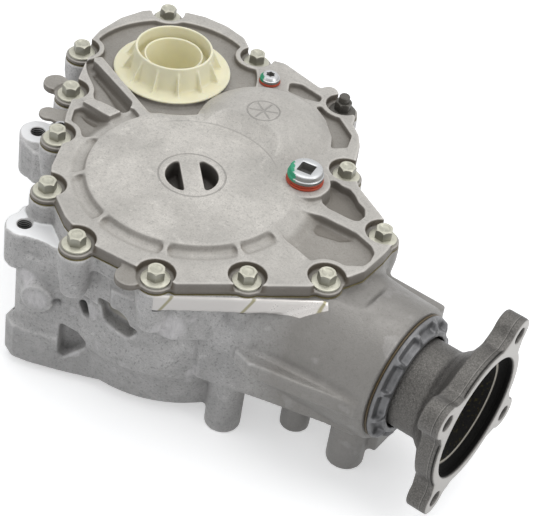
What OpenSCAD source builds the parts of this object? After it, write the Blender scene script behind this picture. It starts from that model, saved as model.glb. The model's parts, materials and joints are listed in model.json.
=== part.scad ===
// Power take-off unit for an all-wheel-drive vehicle with a crosswise engine.
// The input shaft stands on the Z axis, with its mating face at z = 0.
// The output shaft runs along +X, and the cover is on top.

/* [Layout] */
// Place of the transfer shaft along X, from the input shaft
transfer_x = 82.5; // [81:0.5:84]
// Place of the transfer shaft along Y, from the input shaft
transfer_y = -85.1; // [-86.5:0.1:-84]
// Height of the output shaft above the mating face
output_z = 72.1; // [71:0.1:74]
// Height of the joint between housing and cover
split_z = 117; // [116:0.5:119]
// Reach of the companion flange's face, from the transfer shaft
output_reach = 220.3; // [216:0.1:226]

/* [Gears] */
// Module of the three spur gears
gear_module = 2; // [1.98:0.01:2.02]
// Teeth of the input gear
input_teeth = 43; // [42:1:44]
// Teeth of the idler gear
idler_teeth = 40; // [39:1:41]
// Teeth of the transfer gear
transfer_teeth = 36; // [35:1:37]
// Height of the gears' lower faces
gear_z = 84; // [83:0.5:85]
// Face width of the spur gears
gear_w = 14; // [10:0.5:14]
// Module of the bevel pair at its large end
bevel_module = 3; // [2.9:0.05:3.05]
// Teeth of the ring gear
ring_teeth = 38; // [37:1:39]
// Teeth of the bevel pinion
pinion_teeth = 15; // [14:1:16]
// Face width of the bevel pair
bevel_face = 17; // [14:0.5:18]
// Play between meshing teeth, along the pitch line
tooth_play = 0.3; // [0.2:0.05:0.5]
// Thickness of the ring gear's web
ring_web = 10; // [8:0.5:11]

/* [Shafts] */
// Radius of the passage through the input shaft
input_bore_r = 17; // [15:0.5:18]
// Radius of the input shaft where bearings and gear sit
input_shaft_r = 24; // [23.5:0.5:25]
// Height of the input shaft's upper end
input_top_z = 123; // [122.5:0.1:123.4]
// Radius of the idler shaft
idler_shaft_r = 12; // [10:0.5:13]
// Radius of the transfer shaft
transfer_shaft_r = 18; // [16:0.5:19]
// Radius of the flange that carries the ring gear
ring_seat_r = 37; // [35:0.5:39]
// Radius of the pinion shaft at its head bearing
pinion_head_r = 18; // [17:0.5:19]
// Radius of the pinion shaft at its tail bearing
pinion_tail_r = 16; // [15:0.5:16.5]
// Radius of the splined end that carries the companion flange
pinion_spline_r = 13; // [12:0.5:14]
// Radius of the thread for the pinion nut
pinion_thread_r = 10; // [9:0.5:11]

/* [Bearings] */
// Outer radius of the input shaft's bearings
input_bearing_r = 35; // [34:0.5:36]
// Outer radius of the idler shaft's bearings
idler_bearing_r = 24; // [23:0.5:25]
// Outer radius of the transfer shaft's bearings
transfer_bearing_r = 31; // [30:0.5:32]
// Outer radius of the pinion's head bearing
head_bearing_r = 36; // [35:0.5:37]
// Outer radius of the pinion's tail bearing
tail_bearing_r = 31; // [30:0.5:32]
// Width of the bearings on the upright shafts
bearing_w = 13; // [11:0.5:14]
// Width of the pinion's head bearing
head_bearing_w = 20; // [18:0.5:22]
// Width of the pinion's tail bearing
tail_bearing_w = 16; // [14:0.5:18]
// Rollers in a bearing
roller_count = 14; // [10:1:14]
// Tilt of the rollers
roller_tilt = 12; // [8:1:15]

/* [Cover] */
// Thickness of the cover at its edge
cover_edge = 9; // [8:0.5:10]
// Thickness of the cover under a bolt's head
cover_seat = 3; // [2.5:0.5:4]
// Radius of the raised disc over the ring gear
disc_r = 64; // [62:0.5:66]
// Height of the raised disc above the cover's edge
disc_rise = 4; // [3:0.5:5]
// Outer radius of the slope around the disc
slope_r = 74.5; // [72:0.5:76]
// Radius of the hub mark in the disc
hub_r = 20.9; // [20:0.1:22]
// Radius of the two slots in the hub
slot_r = 16.5; // [14:0.5:17]
// Width of the bar between the two slots
slot_bar = 12.7; // [10:0.1:14]
// Depth of the two slots
slot_depth = 14; // [10:0.5:15]
// Radius of the recess around the input shaft
recess_r = 57; // [55:0.5:58]
// Depth of that recess below the cover's edge
recess_depth = 5; // [4:0.5:5.5]
// Radius of the dome over the idler shaft
dome_r = 43; // [41:0.5:45]
// Height of the dome above the cover's edge
dome_rise = 12; // [10:0.5:13]
// Radius of the rounded notch around a cover bolt
notch_r = 11.5; // [11:0.1:12]
// Radius of the seat under a cover bolt
seat_r = 10.5; // [10:0.1:11]
// Thickness of the sealant film between cover and housing
film_t = 0.4; // [0.3:0.1:0.6]

/* [Housing] */
// Thickness of the housing's flange
flange_t = 10.8; // [9:0.2:12]
// Outer radius of the housing around the ring gear
belly_r = 79; // [78:0.5:80]
// Radius of the space for the ring gear
ring_room_r = 68; // [64.5:0.5:69]
// Height of the belly's underside
belly_z = 6; // [5:0.5:7]
// Thickness of the belly's floor
belly_floor = 6; // [5:0.5:7]
// Wall around the gears
gear_wall = 7; // [6:0.5:8]
// Free space around the spur gears' tips
gear_room = 3; // [2:0.5:4]
// Radius of the register bore for the transaxle's pilot
register_r = 40; // [38:0.5:42]
// Depth of the register bore
register_depth = 6; // [4:0.5:7]
// Pitch circle of the transaxle bolts
mating_pcd = 132; // [130:1:134]
// Radius of the holes for the transaxle bolts
mating_hole_r = 5.5; // [5:0.25:6]
// Thickness of the transaxle flange
mating_t = 14; // [12:1:16]
// Radius of the nose at its front face
nose_r = 45; // [44:0.5:47]
// Length from the nose's front face to the companion flange's face
neck_len = 52.3; // [50:0.1:54]
// Radius of the threaded bracket holes
bracket_hole_r = 4.5; // [4:0.25:5]
// Depth of the threaded bracket holes
bracket_hole_depth = 28; // [20:1:35]

/* [Companion flange] */
// Pitch circle of the companion flange's bolts
flange_pcd = 110; // [108:1:112]
// Radius of the companion flange's bolt holes
flange_hole_r = 5; // [4.5:0.25:5.5]
// Radius of the ears around those holes
ear_r = 11; // [10:0.5:11.5]
// Thickness of the ears
ear_t = 14; // [12:0.5:15]
// Radius of the pilot bore in the companion flange
pilot_r = 40.4; // [39:0.1:41.5]
// Depth of the pilot bore
pilot_depth = 8; // [6:0.5:10]
// Outer radius around the pilot bore
cup_r = 47; // [46:0.5:49]
// Radius of the neck
neck_r = 29.5; // [28:0.5:30]
// Radius of the hub that the output seal runs on
hub_seal_r = 22; // [21:0.5:23]
// Angle of the first ear, from +Y towards +Z
ear_angle = 55.4; // [0:0.1:89.9]

/* [Collar and seals] */
// Outer radius of the ribbed collar
collar_r = 41.5; // [40:0.5:43]
// Thickness of the ribbed collar
collar_t = 8; // [6:0.5:9]
// Ribs on the collar
collar_ribs = 12; // [8:1:16]
// Radius of the collar's spigot
spigot_r = 36; // [35:0.5:37]
// Length of the collar's spigot
spigot_len = 20; // [16:1:22]
// Thickness of the o-ring under the collar
o_ring_t = 1.4; // [1.2:0.1:1.8]
// Width of the shaft seals
seal_w = 8; // [6:0.5:9]

/* [Fasteners and plugs] */
// Radius of the cover bolts' shanks
bolt_r = 4; // [3.5:0.1:4]
// Length of the cover bolts below their heads
bolt_len = 16; // [14:1:20]
// Width across flats of the cover bolts' heads
bolt_flats = 10; // [9:0.5:11]
// Radius of the cover bolts' washer faces
bolt_washer_r = 9; // [8.5:0.1:9.2]
// Radius of the fill plug's flange
fill_plug_r = 11.5; // [11:0.1:12]
// Radius of the level plug's flange
level_plug_r = 6.8; // [6.5:0.1:7.5]
// Width across flats of the pinion nut
nut_flats = 32; // [30:1:36]

/* [Shipping cap] */
// Radius of the cap's base
cap_base_r = 39.2; // [38.5:0.1:39.3]
// Radius of the cap's rim
cap_rim_r = 25.7; // [25:0.1:27]
// Radius of the cap's skirt where it meets the base
cap_skirt_r = 28; // [27:0.5:30]
// Height of the cap's rim above its base
cap_rim_h = 17; // [14:0.5:18]
// Outer radius of the cap's plug
cap_plug_r = 19.8; // [19:0.1:20.5]
// Reach of the cap's plug into the input shaft
cap_plug_len = 16; // [12:0.5:18]
// Thickness of the cap's walls
cap_wall = 1.6; // [1.2:0.1:2]
// Fins around the cap
cap_fins = 12; // [8:1:16]
// Thickness of the fins
cap_fin_t = 1; // [0.8:0.1:1.4]
// Step from the cap's rim down to its inner ring
cap_drop = 5.5; // [4:0.5:7]

/* [Hidden] */
$fn = 64;

// Clearance of a fit within one body
fit_gap = 0.02;
// Clearance around rollers and between bodies that run together
run_gap = 0.1;
// Clearance between pieces that move apart
free_gap = 0.3;
// Amount by which a cut passes the face it opens
cut = 1;

// Heights and reaches that follow from the layout
gear_top = gear_z + gear_w;
edge_z = split_z + cover_edge;
disc_z = edge_z + disc_rise;
seat_z = split_z + cover_seat;
recess_z = edge_z - recess_depth;
flange_z = split_z - film_t - flange_t;
upper_z = gear_top + 1;
lower_z = gear_z - 4 - bearing_w;
room_z = belly_z + belly_floor;
wall_z = gear_z - gear_room - gear_wall;
cap_z = edge_z - 1.7;
cap_boss_r = cap_base_r - 1.2;
input_low_z = register_depth + 2 * free_gap;
flange_back = output_reach - ear_t;
nut_room = 30;
hub_back = output_reach - nut_room;
nose_reach = output_reach - neck_len;

// Centres of the gears: the idler meshes with both of its neighbours
input_pitch_r = gear_module * input_teeth / 2;
idler_pitch_r = gear_module * idler_teeth / 2;
transfer_pitch_r = gear_module * transfer_teeth / 2;
reach_a = input_pitch_r + idler_pitch_r;
reach_b = idler_pitch_r + transfer_pitch_r;
shaft_span = norm([transfer_x, transfer_y]);
along = (reach_a * reach_a - reach_b * reach_b + shaft_span * shaft_span) / (2 * shaft_span);
aside = sqrt(reach_a * reach_a - along * along);
span_dir = [transfer_x, transfer_y] / shaft_span;
idler_at = along * span_dir + aside * [-span_dir[1], span_dir[0]];
transfer_at = [transfer_x, transfer_y];

// Bevel pair: both pitch cones have their tips where the two shafts' axes cross
ring_pitch_r = bevel_module * ring_teeth / 2;
pinion_pitch_r = bevel_module * pinion_teeth / 2;
pinion_cone = atan(pinion_pitch_r / ring_pitch_r);
ring_cone = 90 - pinion_cone;
cone_len = norm([ring_pitch_r, pinion_pitch_r]);
bevel_shrink = (cone_len - bevel_face) / cone_len;
pressure = 20;
tooth_shift = 0.3;
ring_back_z = output_z - pinion_pitch_r - 15;

// Bearing places along the output shaft
head_x = ring_pitch_r + 8;
head_end = head_x + head_bearing_w;
tail_x = nose_reach - 24 - tail_bearing_w;
tail_end = tail_x + tail_bearing_w;

// Outline of the cover, from the transfer shaft's axis
cover_outline = [
    [-3, -88], [27, -85], [52, -81], [75, -59], [92, -45], [110, -28], [122, -5], [126, 6],
    [126, 28], [124, 45], [106, 56], [79, 70], [71, 78], [63, 91], [56, 106], [49, 115],
    [40, 122], [37, 129], [29, 137], [18, 140], [11, 146], [5, 145], [1, 140], [-32, 146],
    [-40, 143], [-58, 141], [-70, 150], [-87, 153], [-105, 151], [-117, 146], [-131, 137],
    [-140, 125], [-145, 107], [-145, 84], [-142, 72], [-133, 62], [-128, 50], [-119, 32],
    [-112, 22], [-107, 12], [-99, -3], [-90, -17], [-80, -29], [-70, -50], [-62, -60],
    [-49, -70], [-33, -80], [-14, -87]
];
// Cover bolts, from the transfer shaft's axis
bolt_spots = [
    [-127, 137], [-140.3, 60.6], [-50.5, 138.3], [-114.4, 19.6], [-90, -21.7], [-60, -64.6],
    [-14.9, -90], [37.4, -81], [77.3, -45.6], [111.7, -13.5], [114.5, 44.4], [64, 79]
];
stud_spot = [23, 135.4];
dowel_spots = [[-97, -10], [100, 49]];
// Small lugs on the cover's edge, each a centre, a radius and a height below the edge
edge_lugs = [[[25.5, -90], 9, 4], [[-129, 22], 8.5, 4], [[-112, -4.5], 6.5, 6], [[-105, -1.5], 7, 6],
    [[8, 141], 6, 0]];
fill_at = [53.4, 45.4];
level_at = [-27, 120];
fill_seat_z = disc_z + free_gap;
level_seat_z = edge_z;
fill_boss_r = 16.8;
// Pockets in the cover's top, from the transfer shaft's axis
right_pocket = [[60, 20], [67, 25], [78.6, 29.8], [87, 30.3], [96, 31], [103, 31.3], [110, 29.3],
    [116, 27.8], [121, 23.7], [123, 15.7], [122.5, 9], [115, 2.3], [108, -1.7], [98.6, -9.5], [84, -6],
    [61.5, -1.6]];
right_deep = [[70, 25.8], [79, 29.2], [94, 30.2], [103, 30.4], [101.9, 28.3], [97.1, 23.1],
    [83.2, 18.5], [74.9, 21.4]];
upper_pocket = [[62, 61], [64, 64.7], [70.5, 63.1], [76.6, 63.8], [82.1, 61], [87.6, 56.7],
    [93.6, 54.5], [97.6, 48.5], [97.5, 41.9], [94.5, 39.8], [77, 38.7], [66, 42]];
small_pocket = [[-17, 130], [-10, 134], [8, 132], [10, 126], [0, 122], [-12, 121]];
deep_pocket = [[10, 121], [18, 126], [30, 121], [46, 111], [51, 98], [44, 90], [38, 100],
    [24, 113]];
slot_pocket = [[-125, 50], [-117, 48.5], [-74, 32.5], [-71.5, 28], [-74, 23], [-85, 21.5], [-97, 22],
    [-107, 33], [-113, 37]];
slot_deep = [[-119, 45.5], [-117, 48], [-75, 32], [-73, 28.5], [-77, 25.5], [-82, 28], [-99, 37]];
side_pocket = [[-98, 4], [-96, 9], [-72, 10], [-64, 7], [-65, -5], [-69, -9], [-75, -14], [-83, -10],
    [-92, -6]];
side_deep = [[-95, 6.5], [-94, 8.7], [-72, 9.6], [-70, 6], [-75, 2.5], [-89, 4]];
// Each pocket with the height of its floor above the joint
pockets = [[right_pocket, 3.3], [right_deep, 1.5], [upper_pocket, 1.6], [small_pocket, 3.5],
    [deep_pocket, 3.5], [slot_pocket, 4.2], [slot_deep, 1.7], [side_pocket, 4.1], [side_deep, 1.8]];
// Width of the wall that stays around a bolt's notch
notch_wall = 3.6;
// Reach of the shoulder that falls from the disc into the pockets
shoulder_r = 80;
// Raised plates that join the disc, from the transfer shaft's axis
ridge_plate = [[-123, 52], [-120, 57], [-51, 28], [-43, 14], [-52, 5], [-61, 3], [-72, 17], [-69, 26],
    [-113, 43], [-116, 43]];
ridge_rib = [[-97, 10], [-94, 16], [-88, 18.4], [-81, 19], [-70, 19.5], [-61, 22], [-53, 13], [-60, 5],
    [-69, 9.3], [-90, 10]];
raised_plates = [ridge_plate, ridge_rib];
// Angles of the ribs across the trough around the disc
rib_angles = [189, 221, 257, 295, 332, 354.5];
trough_depth = 1.2;
// Walls of the trough: gap to the disc's rim, and width of its two slopes
trough_gap = 0.8;
trough_slope = [2.6, 1.8];
// Half widths of a rib at its inner end, in its middle and at its outer end
rib_half = [3.4, 1.7, 1.4, 4.2];

// Step between the belly's lower tier and the bowl above it
bowl_step = 3;
// Feet and posts of the housing: centre from the transfer shaft, radius and top
front_posts = [[[75, -45], 11.5, 60], [[110, -15], 9.5, 60], [[nose_reach - 18, -17], 12, 60]];
// Web under the nose, shelf along its parting line and flank on its far side
nose_web = [[60, -60], [84, -53], [104, -47], [nose_reach - 26, -37], [nose_reach - 8, -34],
    [nose_reach - 8, 30], [110, 42], [60, 50]];
nose_shelf = [[80, -40], [84, -58], [97, -62], [105.4, -60], [118, -57.6], [129.6, -55.3],
    [nose_reach - 20.3, -50.5], [nose_reach - 4, -47.2], [nose_reach - 4, -30]];
nose_flank = [[108, 20], [108, 41], [120, 43], [nose_reach - 2, 43], [nose_reach - 1, 40],
    [nose_reach - 1, 20]];
// Foot and thickness of the web, the shelf and the flank
web_z = [39, 30];
shelf_z = [67, 11];
flank_z = [74, 24.5];
// Lug under the nose's end: its size and its foot
lug_size = [17, 24, 40];
lug_z = 12;
// Bracket pads on the housing's left: centre from the transfer shaft, radius and top
pads = [[[-61.7, -82.3], 12, 104], [[-124, -0.2], 12, 96]];
// Outlines of the left block and of the boss above it, from the transfer shaft's axis
block_foot = [[-66, -92.5], [-56, -97], [-44, -94], [-24, -86], [2, -74], [-5, -60], [-40, -50], [-68, -66]];
block_wall = [[-62, -88.5], [-54, -92.5], [-43, -90.5], [-24, -83.5], [2, -72.5], [-5, -60], [-40, -50],
    [-66, -66]];
block_top = [[-67.5, -94], [-57, -92.5], [-44.8, -88], [-30, -86.5], [-18, -78], [-30, -64], [-60, -58],
    [-74, -70]];
side_boss = [[-133, -8], [-127, -13.5], [-113, -17], [-98, -14], [-82, -8], [-86, 10], [-100, 11],
    [-120, 11]];
// Foot and height of the block's parts and of the pads' posts
foot_z = [5, 28];
block_z = [6, 84];
block_top_z = 82;
side_boss_z = [68, 26];
pad_feet = [76, 64];
pad_step = 0.4;
// Round boss on the block's front: its two radii and its height
round_boss = [11.5, 10.5, 7];
// Shallow recess in the belly's front: its place, turn and outline along the wall
wall_recess_at = [-9, -75.4, 0];
wall_recess_turn = 15.5;
wall_recess = [[3.2, 80.6], [20.8, 79.6], [25.5, 76.2], [27.9, 69.9], [34.4, 67.4], [27.7, 59.4],
    [9.7, 64.9]];

module at_transfer() translate([transfer_x, transfer_y, 0]) children();
module at_idler() translate([idler_at[0], idler_at[1], 0]) children();
module on_output(reach = 0)
    translate([transfer_x + reach, transfer_y, output_z]) rotate([0, 90, 0]) children();

// A ring between two radii
module ring(inner, outer, tall) difference() {
    cylinder(r = outer, h = tall);
    translate([0, 0, -cut]) cylinder(r = inner, h = tall + 2 * cut);
}

// A hexagon by its width across flats
module hexagon(flats, tall) cylinder(d = flats / cos(30), h = tall, $fn = 6);

// An outline moved inwards by a constant distance
function unit(v) = v / norm(v);
function left_of(v) = [-v[1], v[0]];
function inset(p, gap) = [for (i = [0:len(p) - 1])
    let (
        n = len(p),
        a = left_of(unit(p[i] - p[(i + n - 1) % n])),
        b = left_of(unit(p[(i + 1) % n] - p[i])),
        m = a + b
    )
    p[i] + gap * 2 * m / (m * m)
];

// Half the angle of an involute tooth at radius r of a gear with pitch radius p and t teeth
function involute(r, base) = r <= base ? 0 : tan(acos(base / r)) * 180 / PI - acos(base / r);
function half_tooth(r, p, half_width) =
    half_width / p * 180 / PI + involute(p, p * cos(pressure)) - involute(r, p * cos(pressure));

module spur_teeth(teeth, phase) {
    p = gear_module * teeth / 2;
    half_width = gear_module * PI / 4 - tooth_play / 2;
    root = p - 1.25 * gear_module;
    tip = p + gear_module;
    base = max(root, p * cos(pressure));
    radii = [root, for (i = [0:3]) base + (tip - base) * i / 3];
    flank = [for (r = radii) half_tooth(max(r, base), p, half_width)];
    rotate(phase) linear_extrude(gear_w) polygon([for (k = [0:teeth - 1])
        let (mid = k * 360 / teeth)
        for (i = [0:9])
            let (j = i < 5 ? i : 9 - i, side = i < 5 ? -1 : 1)
            radii[j] * [cos(mid + side * flank[j]), sin(mid + side * flank[j])]
    ]);
}

// A spur gear with a thin web, a hub that reaches the bearing above, and its teeth turned by phase
module spur_gear(teeth, bore, phase) {
    p = gear_module * teeth / 2;
    rim = p - 1.25 * gear_module - 5;
    difference() {
        spur_teeth(teeth, phase);
        translate([0, 0, -cut]) cylinder(r = bore, h = gear_w + 2 * cut);
        if (rim - bore > 12) for (z = [-cut, gear_w - 3])
            translate([0, 0, z]) ring(bore + 5, rim, 3 + cut);
    }
    ring(bore, bore + 4, upper_z - gear_z);
}

// Phases that keep the three spur gears in mesh
input_phase = atan2(idler_at[1], idler_at[0]);
idler_phase = input_phase + 180 + 180 / idler_teeth;
to_transfer = atan2(transfer_y - idler_at[1], transfer_x - idler_at[0]);
idler_pitch = 360 / idler_teeth;
idler_lag = (to_transfer - idler_phase) - idler_pitch * floor((to_transfer - idler_phase) / idler_pitch);
transfer_phase = to_transfer + 180 + idler_lag * idler_teeth / transfer_teeth + 180 / transfer_teeth;

// Section of a bevel tooth at the large end, as places from the cones' common tip
function bevel_point(cone, h, turn) =
    let (rho = cone_len * sin(cone) + h * cos(cone), zeta = cone_len * cos(cone) - h * sin(cone))
    [rho * cos(turn), rho * sin(turn), zeta];

// One bevel tooth: foot and tip are heights from the pitch cone, shift thickens the tooth
module bevel_tooth(cone, foot, tip, shift) {
    virtual_r = cone_len * tan(cone);
    half_width = bevel_module * (PI / 4 + shift * tan(pressure)) - tooth_play / 2;
    base = virtual_r * cos(pressure);
    start = max(foot + 0.2, base - virtual_r);
    heights = [foot - 0.4, for (i = [0:3]) start + (tip - start) * i / 3];
    turn = [for (h = heights)
        half_tooth(max(virtual_r + max(h, start), base), virtual_r, half_width) / cos(cone)];
    far = [for (i = [0:9])
        let (j = i < 5 ? i : 9 - i, side = i < 5 ? -1 : 1)
        bevel_point(cone, heights[j], side * turn[j])];
    near = [for (q = far) bevel_shrink * q];
    polyhedron(
        points = concat(far, near),
        faces = concat(
            [for (j = [0:3]) each [[j, 8 - j, j + 1], [j, 9 - j, 8 - j]]],
            [for (j = [0:3]) each [[18 - j, j + 10, j + 11], [19 - j, j + 10, 18 - j]]],
            [for (i = [0:9]) let (n = (i + 1) % 10) each [[i, n + 10, i + 10], [i, n, n + 10]]]
        ));
}

// The conical body under bevel teeth, a little longer than they are, closed at the back
blank_over = 0.02;
blank_under = 0.03;
module bevel_blank(cone, foot, back, bore) {
    big = (1 + blank_over) * bevel_point(cone, foot, 0);
    small = (bevel_shrink - blank_under) * bevel_point(cone, foot, 0);
    rotate_extrude($fn = 96) polygon([
        [bore, small[2]], [small[0], small[2]], [big[0], big[2]], [big[0], back], [bore, back]
    ]);
}

ring_foot = -bevel_module * (1.25 + tooth_shift) + 0.15;
ring_tip = bevel_module * (1 - tooth_shift);
pinion_foot = -bevel_module * (1.25 - tooth_shift);
pinion_tip = bevel_module * (1 + tooth_shift);

// Places of the raceways of a taper roller bearing, at height z from the middle
function race_mid(inner, outer) = (inner + outer) / 2;
function roller_r(inner, outer) = (outer - inner) * 0.24;
half_roller = 2;
// Step between the end faces of a bearing's two races
face_step = 1.5;
function cup_race(inner, outer, z) = race_mid(inner, outer)
    + (roller_r(inner, outer) * cos(half_roller) + run_gap) / cos(roller_tilt + half_roller)
    + z * tan(roller_tilt + half_roller);
function cone_race(inner, outer, z) = race_mid(inner, outer)
    - (roller_r(inner, outer) * cos(half_roller) + run_gap) / cos(roller_tilt - half_roller)
    + z * tan(roller_tilt - half_roller);

// Outer race of a taper roller bearing, wide end of the rollers up
module bearing_cup(inner, outer, wide) {
    tall = wide - face_step;
    rotate_extrude() polygon([
        [cup_race(inner, outer, -wide / 2), 0], [outer, 0], [outer, tall],
        [cup_race(inner, outer, tall - wide / 2), tall]
    ]);
}

// Inner race and rollers, wide end of the rollers up
module bearing_cone(inner, outer, wide) {
    mid = race_mid(inner, outer);
    size = roller_r(inner, outer);
    long = wide - 5;
    flare = long / 2 * tan(half_roller);
    rotate_extrude() polygon([
        [inner + fit_gap, face_step], [cone_race(inner, outer, face_step - wide / 2), face_step],
        [cone_race(inner, outer, wide / 2 - 1.8), wide - 1.8],
        [cone_race(inner, outer, wide / 2) + 1.2, wide - 1.8],
        [cone_race(inner, outer, wide / 2) + 1.2, wide], [inner + fit_gap, wide]
    ]);
    for (k = [0:roller_count - 1]) rotate(k * 360 / roller_count)
        translate([mid, 0, wide / 2]) rotate([0, roller_tilt, 0])
            translate([0, 0, -long / 2 - 0.4])
                cylinder(r1 = size - flare, r2 = size + flare, h = long, $fn = 24);
}

// Turns a bearing over, so that the wide end of its rollers is down
module flipped(wide) translate([0, 0, wide]) mirror([0, 0, 1]) children();

// Places of the bearings above and below the gears; their rollers' wide ends face the gears
module upper_race() translate([0, 0, upper_z]) flipped(bearing_w) children();
module lower_race() translate([0, 0, lower_z]) children();

// Plan of the cover's edge, and of the bolt seats around it
module cover_plan() translate(transfer_at) polygon(cover_outline);
module seat_plan(radius) translate(transfer_at) {
    for (spot = bolt_spots) translate(spot) circle(r = radius);
    translate(stud_spot) circle(r = radius);
}
module at_bolts() at_transfer() for (spot = bolt_spots) translate([spot[0], spot[1], 0]) children();
module at_stud() at_transfer() translate([stud_spot[0], stud_spot[1], 0]) children();
module at_spot(spot) at_transfer() translate([spot[0], spot[1], 0]) children();

// Dome over the idler's bearing: a cone with a rounded shoulder and a flat top
dome_flat_r = dome_r * 0.45;
module dome() at_idler() translate([0, 0, edge_z - cut]) rotate_extrude() polygon([
    [0, 0], [dome_r + 1, 0], [dome_r, cut],
    for (i = [0:6]) [
        dome_flat_r + (dome_r - 6 - dome_flat_r) * (1 - i / 6),
        cut + dome_rise * (0.45 + 0.55 * sin(i * 15))
    ],
    [0, cut + dome_rise]
]);

module cover_shape() {
    low = split_z;
    translate([0, 0, low]) linear_extrude(cover_edge) cover_plan();
    translate([0, 0, low]) linear_extrude(cover_seat) seat_plan(seat_r);
    for (lug = edge_lugs) at_spot(lug[0])
        translate([0, 0, low]) cylinder(r = lug[1], h = cover_edge - lug[2]);
    at_transfer() translate([0, 0, edge_z]) cylinder(r1 = slope_r, r2 = disc_r, h = disc_rise, $fn = 128);
    for (plate = raised_plates) slab(plate, [low, cover_edge + disc_rise]);
    dome();
    at_spot(fill_at) translate([0, 0, low])
        cylinder(r1 = fill_boss_r + 1.5, r2 = fill_boss_r, h = fill_seat_z - low);
    at_spot(level_at) translate([0, 0, low]) cylinder(r = 10, h = level_seat_z - low);
    // Rim around the recess, and the bosses that hold the upper bearings
    translate([0, 0, low]) cylinder(r = cap_boss_r, h = cap_z - free_gap - low);
    translate([0, 0, upper_z]) cylinder(r = input_bearing_r + 6, h = low - upper_z + cut);
    at_idler() translate([0, 0, upper_z]) cylinder(r = idler_bearing_r + 6, h = edge_z - upper_z);
    at_transfer() translate([0, 0, upper_z])
        cylinder(r = transfer_bearing_r + 5, h = disc_z - cut - upper_z);
}

// Trough between the disc and the land, on the front and the left, crossed by ribs
far = 160;
rib_reach = [disc_r - 4, disc_r + 2, slope_r - 4.5, slope_r + 2.5];
rib_plan = concat([for (i = [0:3]) [rib_reach[i], -rib_half[i]]],
    [for (i = [3:-1:0]) [rib_reach[i], rib_half[i]]]);
module slope_trough() at_transfer() difference() {
    rotate_extrude($fn = 128) polygon([
        [disc_r + trough_gap, disc_z + 0.3],
        [disc_r + trough_gap + trough_slope[0], edge_z - trough_depth],
        [slope_r + 0.2 - trough_slope[1], edge_z - trough_depth], [slope_r + 0.2, edge_z + 0.5],
        [slope_r + 0.2, disc_z + 2], [disc_r + trough_gap, disc_z + 2]
    ]);
    for (angle = rib_angles) rotate(angle) translate([0, 0, edge_z - 5]) linear_extrude(20)
        polygon(rib_plan);
    translate([0, 0, edge_z - 5]) linear_extrude(20)
        polygon([[0, 0], [far, -0.1 * far], [far, far], [-far, far], [-far, 0.4 * far]]);
}

// Material around the notches that the recess and the pockets leave standing
module notch_walls() translate([0, 0, seat_z - 3 * cut]) linear_extrude(cover_edge + cut)
    seat_plan(notch_r + notch_wall);

module hub_slots() at_transfer() translate([0, 0, disc_z - slot_depth]) rotate(-45)
    for (side = [-1, 1]) intersection() {
        cylinder(r = slot_r, h = slot_depth + cut);
        translate([-slot_r, side > 0 ? slot_bar / 2 : -slot_bar / 2 - slot_r, 0])
            cube([2 * slot_r, slot_r, slot_depth + cut]);
    }

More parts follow.
